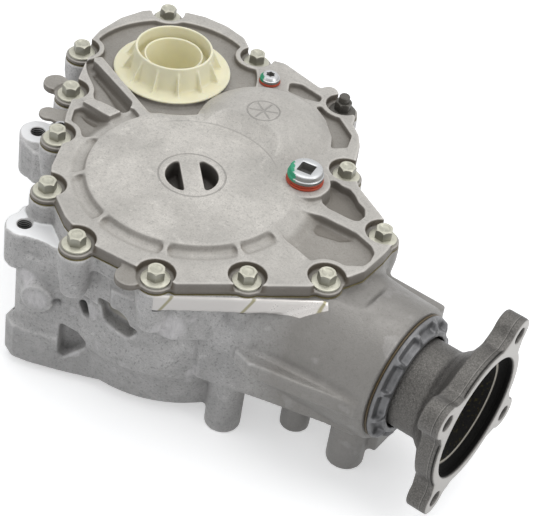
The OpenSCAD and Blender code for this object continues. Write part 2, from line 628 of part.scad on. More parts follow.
module cover() color([0.72, 0.71, 0.69]) difference() {
    cover_shape();
    // Rounded notches around the bolts, open to the edge
    translate([0, 0, seat_z]) linear_extrude(cover_edge + disc_rise + cut) seat_plan(notch_r);
    at_bolts() translate([0, 0, split_z - cut]) cylinder(r = bolt_r + free_gap, h = cover_edge);
    at_stud() translate([0, 0, split_z - cut]) cylinder(r = bolt_r + free_gap, h = cover_edge);
    at_transfer() for (spot = dowel_spots) translate([spot[0], spot[1], split_z - cut])
        cylinder(r = dowel_r + fit_gap, h = dowel_len - dowel_sunk + 0.5 + cut);
    // Recess around the input shaft, with the boss for the seal left standing
    difference() {
        translate([0, 0, recess_z]) cylinder(r = recess_r, h = cover_edge, $fn = 128);
        translate([0, 0, recess_z - cut])
            cylinder(r = cap_boss_r, h = cap_z - free_gap - recess_z + cut);
        for (plate = raised_plates) slab(plate, [recess_z - cut, 2 * cover_edge]);
        at_idler() translate([0, 0, recess_z - cut]) cylinder(r = dome_r, h = 20);
        notch_walls();
    }
    // The cap's base reaches over the dome's foot and the ridge
    translate([0, 0, cap_z - free_gap]) cylinder(r = cap_base_r + 0.4, h = 30);
    for (pocket = pockets) difference() {
        slab(pocket[0], [split_z + pocket[1], 2 * cover_edge]);
        at_transfer() translate([0, 0, split_z + 1])
            cylinder(r1 = shoulder_r + 3.7, r2 = disc_r - 0.7, h = disc_z - split_z - 0.4, $fn = 128);
        notch_walls();
        at_spot(fill_at) translate([0, 0, split_z])
            cylinder(r1 = fill_boss_r + 1.1, r2 = fill_boss_r - 0.4, h = fill_seat_z - split_z);
    }
    hub_slots();
    slope_trough();
    at_transfer() translate([0, 0, disc_z - 0.8]) ring(hub_r - 0.5, hub_r + 0.4, 2);
    // Hollows of the cover's underside
    difference() {
        at_transfer() translate([0, 0, split_z - cut]) cylinder(r = disc_r - 5, h = cover_edge + cut - 1);
        at_transfer() translate([0, 0, split_z - 2 * cut])
            cylinder(r = transfer_bearing_r + 5, h = cover_edge + 4 * cut);
        at_idler() translate([0, 0, split_z - 2 * cut]) cylinder(r = dome_r + 2, h = cover_edge + 4 * cut);
        at_spot(fill_at) translate([0, 0, split_z - 2 * cut]) cylinder(r = 15, h = cover_edge + 4 * cut);
    }
    at_idler() difference() {
        translate([0, 0, split_z - cut]) cylinder(r = dome_flat_r + 12, h = cover_edge + cut);
        translate([0, 0, split_z - 2 * cut]) cylinder(r = idler_bearing_r + 6, h = cover_edge + 4 * cut);
    }
    // Seats of the upper bearings, and the seal's bore
    translate([0, 0, upper_z - cut]) cylinder(r = input_bearing_r + fit_gap, h = bearing_w + cut);
    translate([0, 0, upper_z]) cylinder(r = input_shaft_r + 7, h = 40);
    at_idler() translate([0, 0, upper_z - cut])
        cylinder(r = idler_bearing_r + fit_gap, h = bearing_w + cut);
    at_transfer() translate([0, 0, upper_z - cut])
        cylinder(r = transfer_bearing_r + fit_gap, h = bearing_w + cut);
    // Plug holes
    at_spot(fill_at) translate([0, 0, split_z - cut]) cylinder(r = fill_thread[0] + run_gap, h = 30);
    at_spot(level_at) translate([0, 0, split_z - cut]) cylinder(r = level_thread[0] + run_gap, h = 30);
}

// Space for the gears, open at the top
module gear_space() {
    for (g = [[[0, 0], input_pitch_r], [idler_at, idler_pitch_r]])
        translate([g[0][0], g[0][1], gear_z - gear_room])
            cylinder(r = g[1] + gear_module + gear_room, h = 60);
    at_transfer() translate([0, 0, room_z]) cylinder(r = ring_room_r, h = 130);
    at_spot(fill_at) translate([0, 0, 98]) cylinder(r = 12, h = 30);
    at_spot(level_at) translate([0, 0, 104]) cylinder(r = 10, h = 30);
}

// Nose around the output shaft, flat on top where it passes under the cover
nose_steps = [[60, 40], [60, 66], [54, 84], [49, 112]];
module nose_outside() intersection() {
    on_output() rotate_extrude($fn = 96) polygon([
        [0, 40], each nose_steps, [nose_r + 1, nose_reach - 28], [nose_r, nose_reach - 2],
        [nose_r - 1.5, nose_reach], [0, nose_reach]
    ]);
    union() {
        at_transfer() translate([0, -80, 0]) cube([146, 160, split_z - film_t - 0.5]);
        at_transfer() translate([140, -80, 0]) cube([60, 160, 160]);
    }
}

// A plan on the transfer shaft's axis, raised from its foot by its thickness
module slab(plan, rise) at_transfer() translate([0, 0, rise[0]]) linear_extrude(rise[1]) polygon(plan);

// Upright post from the floor to a height
module post(spot, radius, top) at_spot(spot) cylinder(r = radius, h = top);

module housing_shape() {
    // Flange under the cover, with a boss for each bolt
    translate([0, 0, flange_z]) linear_extrude(flange_t) {
        cover_plan();
        seat_plan(seat_r + 0.5);
    }
    at_bolts() translate([0, 0, flange_z - 22]) cylinder(r1 = 8, r2 = seat_r + 0.5, h = 22.5);
    at_stud() translate([0, 0, flange_z - 22]) cylinder(r1 = 8, r2 = seat_r + 0.5, h = 22.5);
    // Machined strip along the front edge
    at_transfer() translate([0, 0, flange_z]) linear_extrude(flange_t)
        polygon([[44.6, -89.8], [120.5, -24.1], [110, -16], [60, -56], [36, -78]]);
    // Side wall under the flange
    at_transfer() translate([0, 0, wall_z]) linear_extrude(flange_z - wall_z + cut)
        polygon(inset(cover_outline, 6));
    // Round walls around the gears and the ring gear
    translate([0, 0, 54]) cylinder(r1 = input_bearing_r + 8, r2 = input_pitch_r + 12, h = 24);
    translate([0, 0, 78]) cylinder(r = input_pitch_r + 12, h = flange_z - 77);
    at_idler() translate([0, 0, lower_z - 6]) cylinder(r = idler_bearing_r + 8, h = 20);
    at_idler() translate([0, 0, wall_z]) cylinder(r = idler_pitch_r + 12, h = flange_z - wall_z + cut);
    at_transfer() translate([0, 0, belly_z]) rotate_extrude($fn = 128) polygon([
        [0, 0], [belly_r - 5, 0], [belly_r - 1, 3], [belly_r, 22], [belly_r + bowl_step, 29],
        [belly_r + bowl_step, 56], [belly_r - 2, 76], [belly_r - 6, 79],
        [belly_r - 6, flange_z - belly_z + cut], [0, flange_z - belly_z + cut]
    ]);
    // Raised pad on the belly's front
    at_transfer() translate([0, 0, 60]) rotate(-72) intersection() {
        cylinder(r1 = belly_r + 2, r2 = belly_r + 6, h = 36, $fn = 128);
        translate([40, -18, -cut]) cube([60, 42, 60]);
    }
    // Tube around the input shaft and the transaxle flange with its four ears
    cylinder(r = register_r + 6, h = 60);
    cylinder(r = register_r + 14, h = mating_t);
    for (k = [0:3]) rotate(90 * k) {
        translate([mating_pcd / 2, 0, 0]) cylinder(r = mating_hole_r + 6.5, h = mating_t);
        translate([0, -10, 0]) cube([mating_pcd / 2, 20, mating_t]);
        translate([register_r, -3, mating_t - cut]) cube([18, 6, 44]);
    }
    // Nose around the output shaft, with its ledge, web and posts
    nose_outside();
    slab(nose_web, web_z);
    slab(nose_shelf, shelf_z);
    slab(nose_flank, flank_z);
    for (p = front_posts) post(p[0], p[1], p[2]);
    at_transfer() translate([nose_reach - 18, -lug_size[1] / 2, lug_z]) cube(lug_size);
    // Bracket pads on the left, with their webs
    slab(block_foot, foot_z);
    slab(block_wall, block_z);
    slab(block_top, [block_top_z, pads[0][2] - block_top_z]);
    slab(side_boss, side_boss_z);
    at_spot(pads[0][0]) translate([0, 0, pad_feet[0]])
        cylinder(r = pads[0][1], h = pads[0][2] - pad_feet[0] - pad_step);
    at_spot(pads[1][0]) translate([0, 0, pad_feet[1]])
        cylinder(r = pads[1][1], h = pads[1][2] - pad_feet[1]);
    // Round boss on the block's front
    on_block(-41.5, -90.6, 62.4)
        cylinder(r1 = round_boss[0], r2 = round_boss[1], h = round_boss[2], center = true);
    // Stiffening ribs on the back
    for (x = [-35, 0, 35]) translate([x - 2.5, 20, 60]) cube([5, 42, flange_z - 60 + cut]);
    at_idler() rotate(30) translate([20, -2.5, 60]) cube([32, 5, flange_z - 60 + cut]);
    at_idler() rotate(80) translate([20, -2.5, 60]) cube([34, 5, flange_z - 60 + cut]);
    at_transfer() rotate(45) translate([60, -2.5, 20]) cube([26, 5, flange_z - 20 + cut]);
}

module main_housing() color([0.66, 0.66, 0.67]) {
    housing_body();
    lower_boss();
}

module housing_body() difference() {
    housing_shape();
    gear_space();
    // Bolt and dowel holes of the cover's joint
    at_bolts() translate([0, 0, seat_z - bolt_len - 2]) cylinder(r = bolt_r + fit_gap, h = 60);
    at_stud() translate([0, 0, seat_z - bolt_len - 2]) cylinder(r = bolt_r + fit_gap, h = 60);
    at_transfer() for (spot = dowel_spots)
        translate([spot[0], spot[1], split_z - film_t - dowel_sunk - 0.5])
            cylinder(r = dowel_r + fit_gap, h = dowel_len + 2 * cut);
    // Input shaft: register, seal, passage and lower bearing
    translate([0, 0, -cut]) cylinder(r = register_r, h = register_depth + cut);
    translate([0, 0, -cut]) cylinder(r = input_shaft_r + 7, h = register_depth + seal_w + 3);
    cylinder(r = input_shaft_r + 4, h = gear_z);
    translate([0, 0, lower_z]) cylinder(r = input_bearing_r + fit_gap, h = 40);
    translate([0, 0, -cut]) difference() {
        cylinder(r = register_r + 4.2, h = 1.9 + cut);
        cylinder(r = register_r + 2, h = 2 + cut);
    }
    for (k = [0:3]) rotate(90 * k) translate([mating_pcd / 2, 0, -cut])
        cylinder(r = mating_hole_r, h = mating_t + 2 * cut);
    // Lower bearings of the idler and the transfer shaft
    at_idler() translate([0, 0, lower_z]) cylinder(r = idler_bearing_r + fit_gap, h = 40);
    // Output shaft: head bearing, stem, tail bearing and the collar's spigot
    on_output(50) cylinder(r = head_bearing_r + fit_gap, h = head_end - 50);
    on_output(head_end - cut) cylinder(r = tail_bearing_r - 4, h = tail_x - head_end + 2 * cut);
    on_output(head_end + 5) cylinder(r = head_bearing_r, h = tail_x - head_end - 10);
    on_output(tail_x) cylinder(r = tail_bearing_r + fit_gap, h = 60);
    on_output(nose_reach - spigot_len - 1) cylinder(r = spigot_r + fit_gap, h = 60);
    // Bracket holes and the pockets between the ribs of the left block
    for (p = pads) at_spot(p[0]) translate([0, 0, p[2] - bracket_hole_depth])
        cylinder(r = bracket_hole_r, h = bracket_hole_depth + cut);
    // Slanted hole, cast pocket and groove in the block's front
    on_block(-13.4, -79.2, 62.8) rotate(25) for (y = [-3, 3]) translate([0, y, -20])
        cylinder(r = 3, h = 40);
    on_block(-13.4, -79.2, 62.8) rotate(25) translate([-3, -3, -20]) cube([6, 6, 40]);
    on_block(-20, -82, 24) translate([0, 0, -9]) linear_extrude(30)
        polygon([[-9, 21], [10.5, 13], [9, 6], [-8, -9]]);
    on_block(-42.5, -91.5, 87) translate([-1.5, -12, -1]) cube([3, 24, 20]);
    on_block(-31, -86.8, 60) translate([0, 0, -6]) linear_extrude(30)
        polygon([[-3.4, 4], [4, -5], [4, 4]]);
    // Recess in the belly's front
    at_transfer() translate(wall_recess_at) rotate(wall_recess_turn) rotate([90, 0, 0])
        linear_extrude(30) polygon(wall_recess);
}

// A place on the left block's front: local x runs along it, y up and z out of it
block_turn = 22;
module on_block(x, y, z) at_transfer() translate([x, y, z]) rotate(block_turn) rotate([90, 0, 0]) children();

// Boss around the transfer shaft's lower bearing, standing on the belly's floor
module lower_boss() at_transfer() translate([0, 0, room_z - cut]) ring(
    transfer_bearing_r + fit_gap, transfer_bearing_r + 5, bearing_w + cut);

module cover_sealant() color([0.55, 0.55, 0.42]) difference() {
    translate([0, 0, split_z - film_t]) linear_extrude(film_t) {
        cover_plan();
        seat_plan(seat_r);
    }
    translate([0, 0, split_z - film_t - cut]) linear_extrude(film_t + 2 * cut) {
        circle(r = input_pitch_r + gear_module + gear_room);
        translate(idler_at) circle(r = idler_pitch_r + gear_module + gear_room);
        translate(transfer_at) circle(r = ring_room_r);
        seat_plan(bolt_r + free_gap);
        translate(transfer_at) {
            for (spot = dowel_spots) translate(spot) circle(r = dowel_r + free_gap);
            translate(fill_at) circle(r = 12);
            translate(level_at) circle(r = 10);
        }
    }
}

// Flange bolt with a shallow dish in its head
bolt_head_h = 8.5;
bolt_washer_t = 2;
dish_depth = 0.5;
dish_rim = 1.6;
module flange_bolt() {
    translate([0, 0, -bolt_len]) cylinder(r = bolt_r, h = bolt_len + cut);
    cylinder(r1 = bolt_washer_r, r2 = bolt_washer_r - 1, h = bolt_washer_t);
    difference() {
        intersection() {
            hexagon(bolt_flats, bolt_head_h);
            cylinder(r1 = bolt_flats / 2 + 7, r2 = bolt_flats / 2 - 0.2, h = bolt_head_h);
        }
        translate([0, 0, bolt_head_h - dish_depth]) cylinder(r = bolt_flats / 2 - dish_rim, h = cut);
    }
}

module cover_bolts() color([0.78, 0.77, 0.7]) at_bolts() translate([0, 0, seat_z]) flange_bolt();

module cover_stud_bolt() color([0.35, 0.34, 0.32]) at_stud() translate([0, 0, seat_z]) {
    flange_bolt();
    translate([0, 0, bolt_head_h - dish_depth]) cylinder(r = stud_r, h = stud_len);
}
stud_r = 3.6;
stud_len = 5;

// Hollow pins that centre the cover: radius, bore, length, and the part below the joint
dowel_r = 4;
dowel_bore_r = 2.5;
dowel_len = 12;
dowel_sunk = 7.5;
module dowel_pins() color([0.6, 0.6, 0.62]) at_transfer() for (spot = dowel_spots)
    translate([spot[0], spot[1], split_z - film_t - dowel_sunk]) difference() {
        cylinder(r = dowel_r, h = dowel_len);
        translate([0, 0, -cut]) cylinder(r = dowel_bore_r, h = dowel_len + 2 * cut);
    }

// Screw plug with a flange, a thread and a socket
module screw_plug(radius, thread_r, head_h, flange_h, thread_len) {
    translate([0, 0, -thread_len]) cylinder(r = thread_r, h = thread_len + cut);
    cylinder(r = radius, h = flange_h);
    difference() {
        cylinder(r1 = radius - 0.6, r2 = radius - 1, h = head_h);
        children();
    }
}

washer_t = 1.8;
washer_rim = 0.4;
// Fill plug: thread radius and length, head, flange, and the square socket
fill_thread = [9, 16];
fill_head_h = 6;
fill_flange_h = 2.6;
fill_square = 9.6;
module fill_plug() color([0.8, 0.81, 0.83]) at_spot(fill_at) translate([0, 0, fill_seat_z + 2 * washer_t])
    screw_plug(fill_plug_r, fill_thread[0], fill_head_h, fill_flange_h, fill_thread[1])
        translate([-fill_square / 2, -fill_square / 2, 1.5]) cube([fill_square, fill_square, fill_head_h]);

module fill_plug_washer() color([0.55, 0.2, 0.13]) at_spot(fill_at) for (k = [0, 1])
    translate([0, 0, fill_seat_z + k * washer_t]) ring(
        fill_thread[0] + run_gap, fill_plug_r + washer_rim - 0.5 * k, washer_t);

// Level plug: thread radius and length, head, flange, and its socket
level_thread = [5, 12];
level_head_h = 4.4;
level_flange_h = 2;
level_flats = 5;
module level_plug() color([0.8, 0.81, 0.83]) at_spot(level_at) translate([0, 0, level_seat_z + washer_t])
    screw_plug(level_plug_r, level_thread[0], level_head_h, level_flange_h, level_thread[1])
        translate([0, 0, 1.5]) hexagon(level_flats, level_head_h);

module level_plug_washer() color([0.62, 0.16, 0.1]) at_spot(level_at)
    translate([0, 0, level_seat_z]) ring(level_thread[0] + run_gap, level_plug_r + washer_rim, washer_t);

// Moulded cap with a conical skirt, fins and a plug that enters the input shaft
module shipping_cap() color([0.91, 0.89, 0.74]) {
    top = cap_rim_h + cap_wall;
    translate([0, 0, cap_z]) {
        rotate_extrude() polygon([
            [cap_plug_r - cap_wall, cap_wall - cap_plug_len], [cap_plug_r - cap_wall, top - cap_drop],
            [cap_plug_r, top - cap_drop], [cap_plug_r, 4], [cap_skirt_r - 2 * cap_wall, 4],
            [cap_rim_r - cap_wall, top], [cap_rim_r, top], [cap_skirt_r, cap_wall],
            [cap_base_r, cap_wall], [cap_base_r, 0], [cap_plug_r, 0],
            [cap_plug_r, -cap_plug_len], [0, -cap_plug_len], [0, cap_wall - cap_plug_len]
        ]);
        for (k = [0:cap_fins - 1]) rotate((k + 0.5) * 360 / cap_fins)
            rotate([90, 0, 0]) translate([0, 0, -cap_fin_t / 2]) linear_extrude(cap_fin_t) polygon([
                [cap_skirt_r - 0.4, cap_wall - 0.2], [cap_base_r - 5, cap_wall - 0.2],
                [cap_rim_r + 1.6, top - 4], [cap_rim_r + 0.4, top - 3]
            ]);
    }
}

// Lip seal: a stiff ring with a lip that runs on its shaft
module lip_seal(shaft, bore, wide) {
    ring(bore - 3, bore - fit_gap, wide);
    translate([0, 0, wide - 1.6]) ring(shaft + 3, bore - 2, 1.6);
    rotate_extrude() polygon([
        [shaft + run_gap, wide - 5], [shaft + 1.2, wide - 6], [shaft + 3.2, wide - 1.6],
        [shaft + 3.2, wide], [shaft + 1.6, wide], [shaft + run_gap, wide - 4]
    ]);
}

module input_seal() color([0.12, 0.12, 0.13])
    translate([0, 0, cap_z - 1 - seal_w]) lip_seal(input_shaft_r, input_shaft_r + 7, seal_w);

module transaxle_seal() color([0.12, 0.12, 0.13])
    translate([0, 0, register_depth + 1]) lip_seal(input_shaft_r, input_shaft_r + 7, seal_w);

module transaxle_o_ring() color([0.1, 0.1, 0.1])
    translate([0, 0, 1]) rotate_extrude() translate([register_r + 3.1, 0]) circle(r = 0.9, $fn = 24);

// Hollow input shaft: the transaxle's side shaft passes through it
module input_shaft() color([0.5, 0.5, 0.52]) difference() {
    union() {
        translate([0, 0, input_low_z]) cylinder(r = input_shaft_r, h = input_top_z - input_low_z);
        translate([0, 0, lower_z + bearing_w])
            cylinder(r = input_shaft_r + 4, h = gear_z - lower_z - bearing_w);
    }
    translate([0, 0, -cut]) cylinder(r = input_bore_r, h = 140);
    translate([0, 0, cap_z - cap_plug_len - 2]) cylinder(r = cap_plug_r + free_gap, h = 60);
    for (k = [0:23]) rotate(k * 15) translate([input_bore_r - cut, -1.1, -cut]) cube([2.2, 2.2, 30]);
}

module input_gear() color([0.55, 0.55, 0.57])
    translate([0, 0, gear_z]) spur_gear(input_teeth, input_shaft_r + fit_gap, input_phase);

module input_upper_cup() color([0.62, 0.63, 0.65])
    upper_race() bearing_cup(input_shaft_r, input_bearing_r, bearing_w);
module input_upper_cone() color([0.62, 0.63, 0.65])
    upper_race() bearing_cone(input_shaft_r, input_bearing_r, bearing_w);
module input_lower_cup() color([0.62, 0.63, 0.65])
    lower_race() bearing_cup(input_shaft_r, input_bearing_r, bearing_w);
module input_lower_cone() color([0.62, 0.63, 0.65])
    lower_race() bearing_cone(input_shaft_r, input_bearing_r, bearing_w);

module idler_shaft() color([0.5, 0.5, 0.52]) at_idler() {
    translate([0, 0, lower_z + 1]) cylinder(r = idler_shaft_r, h = upper_z + bearing_w - lower_z - 2);
    translate([0, 0, lower_z + bearing_w])
        cylinder(r = idler_shaft_r + 3, h = upper_z - lower_z - bearing_w);
    translate([0, 0, lower_z + bearing_w])
        cylinder(r = idler_shaft_r + 6, h = gear_z - lower_z - bearing_w);
}
module idler_gear() color([0.55, 0.55, 0.57]) at_idler()
    translate([0, 0, gear_z]) spur_gear(idler_teeth, idler_shaft_r + 3 + fit_gap, idler_phase);
module idler_upper_cup() color([0.62, 0.63, 0.65]) at_idler()
    upper_race() bearing_cup(idler_shaft_r, idler_bearing_r, bearing_w);
module idler_upper_cone() color([0.62, 0.63, 0.65]) at_idler()
    upper_race() bearing_cone(idler_shaft_r, idler_bearing_r, bearing_w);
module idler_lower_cup() color([0.62, 0.63, 0.65]) at_idler()
    lower_race() bearing_cup(idler_shaft_r, idler_bearing_r, bearing_w);
module idler_lower_cone() color([0.62, 0.63, 0.65]) at_idler()
    lower_race() bearing_cone(idler_shaft_r, idler_bearing_r, bearing_w);

// Transfer shaft with the flange that carries the ring gear
shim_t = 1;
module transfer_shaft() color([0.5, 0.5, 0.52]) at_transfer() {
    translate([0, 0, room_z + 1]) cylinder(r = transfer_shaft_r, h = upper_z + bearing_w - room_z - 2);
    translate([0, 0, room_z + shim_t + bearing_w])
        cylinder(r = transfer_shaft_r + 2, h = upper_z - room_z - bearing_w - shim_t);
    translate([0, 0, gear_z - 4]) cylinder(r = transfer_shaft_r + 6, h = 4);
    difference() {
        translate([0, 0, ring_back_z - ring_flange_t]) cylinder(r = ring_seat_r, h = ring_flange_t);
        ring_bolt_holes();
    }
}
module transfer_gear() color([0.55, 0.55, 0.57]) at_transfer()
    translate([0, 0, gear_z]) spur_gear(transfer_teeth, transfer_shaft_r + 2 + fit_gap, transfer_phase);

ring_flange_t = 5.5;
ring_bolts = 8;
ring_bolt_at = 30;
ring_bolt_r = 4;
ring_head = [12, 5];
module ring_bolt_holes() for (k = [0:ring_bolts - 1]) rotate((k + 0.5) * 360 / ring_bolts)
    translate([ring_bolt_at, 0, ring_back_z - 2 * ring_flange_t])
        cylinder(r = ring_bolt_r + fit_gap, h = 3 * ring_flange_t + 2 * ring_web);

// Ring gear: its teeth look up at the pinion
module ring_gear() color([0.48, 0.49, 0.51]) at_transfer() difference() {
    union() {
        translate([0, 0, output_z]) mirror([0, 0, 1]) {
            bevel_blank(ring_cone, ring_foot, output_z - ring_back_z, transfer_shaft_r + 2 + fit_gap);
            for (k = [0:ring_teeth - 1]) rotate(k * 360 / ring_teeth)
                bevel_tooth(ring_cone, ring_foot, ring_tip, -tooth_shift);
        }
    }
    translate([0, 0, ring_back_z + ring_web])
        cylinder(r = ring_bolt_at + ring_head[0] / 2 + 2, h = output_z - ring_back_z);
    ring_bolt_holes();
}
module ring_gear_bolts() color([0.3, 0.3, 0.32]) at_transfer()
    for (k = [0:ring_bolts - 1]) rotate((k + 0.5) * 360 / ring_bolts) translate([ring_bolt_at, 0, 0]) {
        translate([0, 0, ring_back_z - ring_flange_t])
            cylinder(r = ring_bolt_r, h = ring_web + ring_flange_t + 0.5);
        translate([0, 0, ring_back_z + ring_web]) hexagon(ring_head[0], ring_head[1]);
    }
module transfer_upper_cup() color([0.62, 0.63, 0.65]) at_transfer()
    upper_race() bearing_cup(transfer_shaft_r, transfer_bearing_r, bearing_w);
module transfer_upper_cone() color([0.62, 0.63, 0.65]) at_transfer()
    upper_race() bearing_cone(transfer_shaft_r, transfer_bearing_r, bearing_w);
module transfer_lower_cup() color([0.62, 0.63, 0.65]) at_transfer()
    translate([0, 0, room_z + shim_t]) bearing_cup(transfer_shaft_r, transfer_bearing_r, bearing_w);
module transfer_lower_cone() color([0.62, 0.63, 0.65]) at_transfer()
    translate([0, 0, room_z + shim_t]) bearing_cone(transfer_shaft_r, transfer_bearing_r, bearing_w);
module transfer_shim() color([0.7, 0.7, 0.72]) at_transfer()
    translate([0, 0, room_z]) ring(transfer_bearing_r - 6, transfer_bearing_r, shim_t);

// Bevel pinion with its stem, spline and thread
pinion_back = ring_pitch_r + 4;
module pinion_shaft() color([0.5, 0.5, 0.52]) {
    on_output() rotate(180 / pinion_teeth) {
        bevel_blank(pinion_cone, pinion_foot, pinion_back, 0);
        for (k = [0:pinion_teeth - 1]) rotate(k * 360 / pinion_teeth)
            bevel_tooth(pinion_cone, pinion_foot, pinion_tip, tooth_shift);
    }
    on_output(pinion_back - cut) cylinder(r = pinion_head_r + 5, h = head_x - shim_t - pinion_back + cut);
    on_output(head_x - 2) cylinder(r = pinion_head_r, h = head_bearing_w + 2 - face_step);
    on_output(head_x) cylinder(r = pinion_tail_r, h = tail_end - head_x);
    on_output(tail_end - cut) cylinder(r = pinion_spline_r, h = hub_back - tail_end + cut);
    on_output(hub_back - cut) cylinder(r = pinion_thread_r, h = 17 + cut);
}
module pinion_shim() color([0.7, 0.7, 0.72])
    on_output(head_x - shim_t) ring(pinion_head_r + fit_gap, pinion_head_r + 6, shim_t);
module head_bearing_cup() color([0.62, 0.63, 0.65]) on_output(head_x) flipped(head_bearing_w)
    bearing_cup(pinion_head_r, head_bearing_r, head_bearing_w);
module head_bearing_cone() color([0.62, 0.63, 0.65]) on_output(head_x) flipped(head_bearing_w)
    bearing_cone(pinion_head_r, head_bearing_r, head_bearing_w);
module tail_bearing_cup() color([0.62, 0.63, 0.65]) on_output(tail_x)
    bearing_cup(pinion_tail_r, tail_bearing_r, tail_bearing_w);
module tail_bearing_cone() color([0.62, 0.63, 0.65]) on_output(tail_x)
    bearing_cone(pinion_tail_r, tail_bearing_r, tail_bearing_w);

// Sleeve with a bulge that sets the preload of the pinion's bearings
module crush_sleeve() color([0.6, 0.6, 0.62]) {
    from = head_end - face_step;
    long = tail_x + face_step - from;
    inner = pinion_tail_r + fit_gap;
    outer = inner + 2;
    bulge = outer + 3;
    on_output(from) rotate_extrude() polygon([
        [inner, 0], [outer, 0], [outer, long * 0.3], [bulge, long * 0.5], [outer, long * 0.7],
        [outer, long], [inner, long], [inner, long * 0.7], [bulge - 2, long * 0.5], [inner, long * 0.3]
    ]);
}

// Ribbed collar that closes the nose and holds the output seal
collar_x = nose_reach + o_ring_t;
collar_rim_t = 3;
gusset_t = 2.8;
module bearing_collar() color([0.5, 0.51, 0.52]) {
    inner = neck_r + 1.5;
    hub = inner + 3.4;
    on_output(collar_x) {
        rotate_extrude($fn = 96) polygon([
            [inner, 0], [collar_r, 0], [collar_r, collar_rim_t - 0.7], [collar_r - 0.7, collar_rim_t],
            [hub + 0.4, collar_rim_t], [hub, collar_t], [inner, collar_t]
        ]);
        for (k = [0:collar_ribs - 1]) rotate(k * 360 / collar_ribs + 8) rotate([90, 0, 0])
            translate([0, 0, -gusset_t / 2]) linear_extrude(gusset_t) polygon([
                [hub - 1, collar_rim_t - 1], [collar_r - 0.9, collar_rim_t - 1],
                [collar_r - 0.9, collar_rim_t + 2.2], [hub + 2, collar_t - 0.5], [hub - 1, collar_t - 0.5]
            ]);
    }
    on_output(nose_reach - spigot_len) ring(tail_bearing_r, spigot_r, spigot_len + o_ring_t + cut);
}
module collar_o_ring() color([0.45, 0.38, 0.2])
    on_output(nose_reach + o_ring_t / 2) rotate_extrude()
        translate([collar_r - o_ring_t / 2, 0]) circle(d = o_ring_t - 0.02, $fn = 24);

module output_seal() color([0.12, 0.12, 0.13])
    on_output(nose_reach - seal_setback) lip_seal(hub_seal_r, tail_bearing_r, seal_w);
seal_setback = 14;

// Companion flange: hub, neck, cup with the pilot bore, and four ears
module companion_flange() color([0.32, 0.31, 0.3]) {
    floor_x = flange_back + 2;
    on_output() difference() {
        union() {
            rotate_extrude($fn = 96) polygon([
                [0, tail_end], [hub_seal_r, tail_end], [hub_seal_r, nose_reach - 1],
                [neck_r, nose_reach + 2], [neck_r, flange_back - 12], [neck_r + 3, flange_back - 9],
                [neck_r + 6, flange_back - 5], [cup_r, flange_back + cut], [cup_r, output_reach],
                [0, output_reach]
            ]);
            for (k = [0:3]) rotate(ear_turn + 90 * k) translate([0, 0, flange_back]) {
                translate([flange_pcd / 2, 0, 0]) cylinder(r = ear_r, h = ear_t);
                linear_extrude(ear_t) polygon([
                    [cup_r - 9, -20], [flange_pcd / 2 - 14, -ear_r - 7],
                    [flange_pcd / 2 - 2, 0.5 - ear_r], [flange_pcd / 2 - 2, ear_r - 0.5],
                    [flange_pcd / 2 - 14, ear_r + 7], [cup_r - 9, 20]
                ]);
            }
        }
        translate([0, 0, output_reach - pilot_depth]) cylinder(r = pilot_r, h = pilot_depth + cut);
        translate([0, 0, floor_x - 6])
            cylinder(r1 = nut_flats / 2 + 8, r2 = pilot_r - 3, h = output_reach - floor_x);
        translate([0, 0, hub_back]) cylinder(r = nut_flats / 2 + 5, h = output_reach - hub_back + cut);
        translate([0, 0, tail_end - cut])
            cylinder(r = pinion_spline_r + fit_gap, h = output_reach - tail_end + 2 * cut);
        for (k = [0:3]) rotate(ear_turn + 90 * k)
            translate([flange_pcd / 2, 0, flange_back - ear_t]) cylinder(r = flange_hole_r, h = 3 * ear_t);
    }
}
// On the output axis, local x points down and local y along +Y
ear_turn = 90 + ear_angle;

module pinion_nut() color([0.45, 0.45, 0.44]) on_output(hub_back) difference() {
    union() {
        cylinder(r = nut_flats / 2 + 3, h = nut_rim_t);
        hexagon(nut_flats, nut_h);
    }
    translate([0, 0, -cut]) cylinder(r = pinion_thread_r + fit_gap, h = nut_h + 2 * cut);
}
nut_h = 13;
nut_rim_t = 2.5;

module housing_magnet() color([0.2, 0.2, 0.21]) at_transfer() rotate(150)
    translate([magnet_at, 0, room_z]) cylinder(r = magnet_r, h = magnet_t);
magnet_at = 52;
magnet_r = 9;
magnet_t = 4;

main_housing();
cover();
cover_sealant();
cover_bolts();
cover_stud_bolt();
dowel_pins();
fill_plug();
fill_plug_washer();
level_plug();
level_plug_washer();
shipping_cap();
input_seal();
transaxle_seal();
transaxle_o_ring();
input_shaft();
input_gear();
input_upper_cup();
input_upper_cone();
input_lower_cup();
input_lower_cone();
idler_shaft();
idler_gear();
idler_upper_cup();
idler_upper_cone();
idler_lower_cup();
idler_lower_cone();
transfer_shaft();
transfer_gear();
ring_gear();
ring_gear_bolts();
transfer_upper_cup();
transfer_upper_cone();
transfer_lower_cup();
transfer_lower_cone();
transfer_shim();
pinion_shaft();
head_bearing_cup();
head_bearing_cone();
tail_bearing_cup();
tail_bearing_cone();
pinion_shim();
crush_sleeve();
bearing_collar();
collar_o_ring();
output_seal();
companion_flange();
pinion_nut();
housing_magnet();
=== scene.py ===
"""Power take-off unit: its castings, cap, plugs, bolts and flange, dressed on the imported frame."""

import json
from math import atan2, pi, radians

import bpy
from bpy.props import FloatProperty, FloatVectorProperty, IntProperty, PointerProperty
from bpy.types import Operator, Panel, PropertyGroup
from mathutils import Matrix, Vector

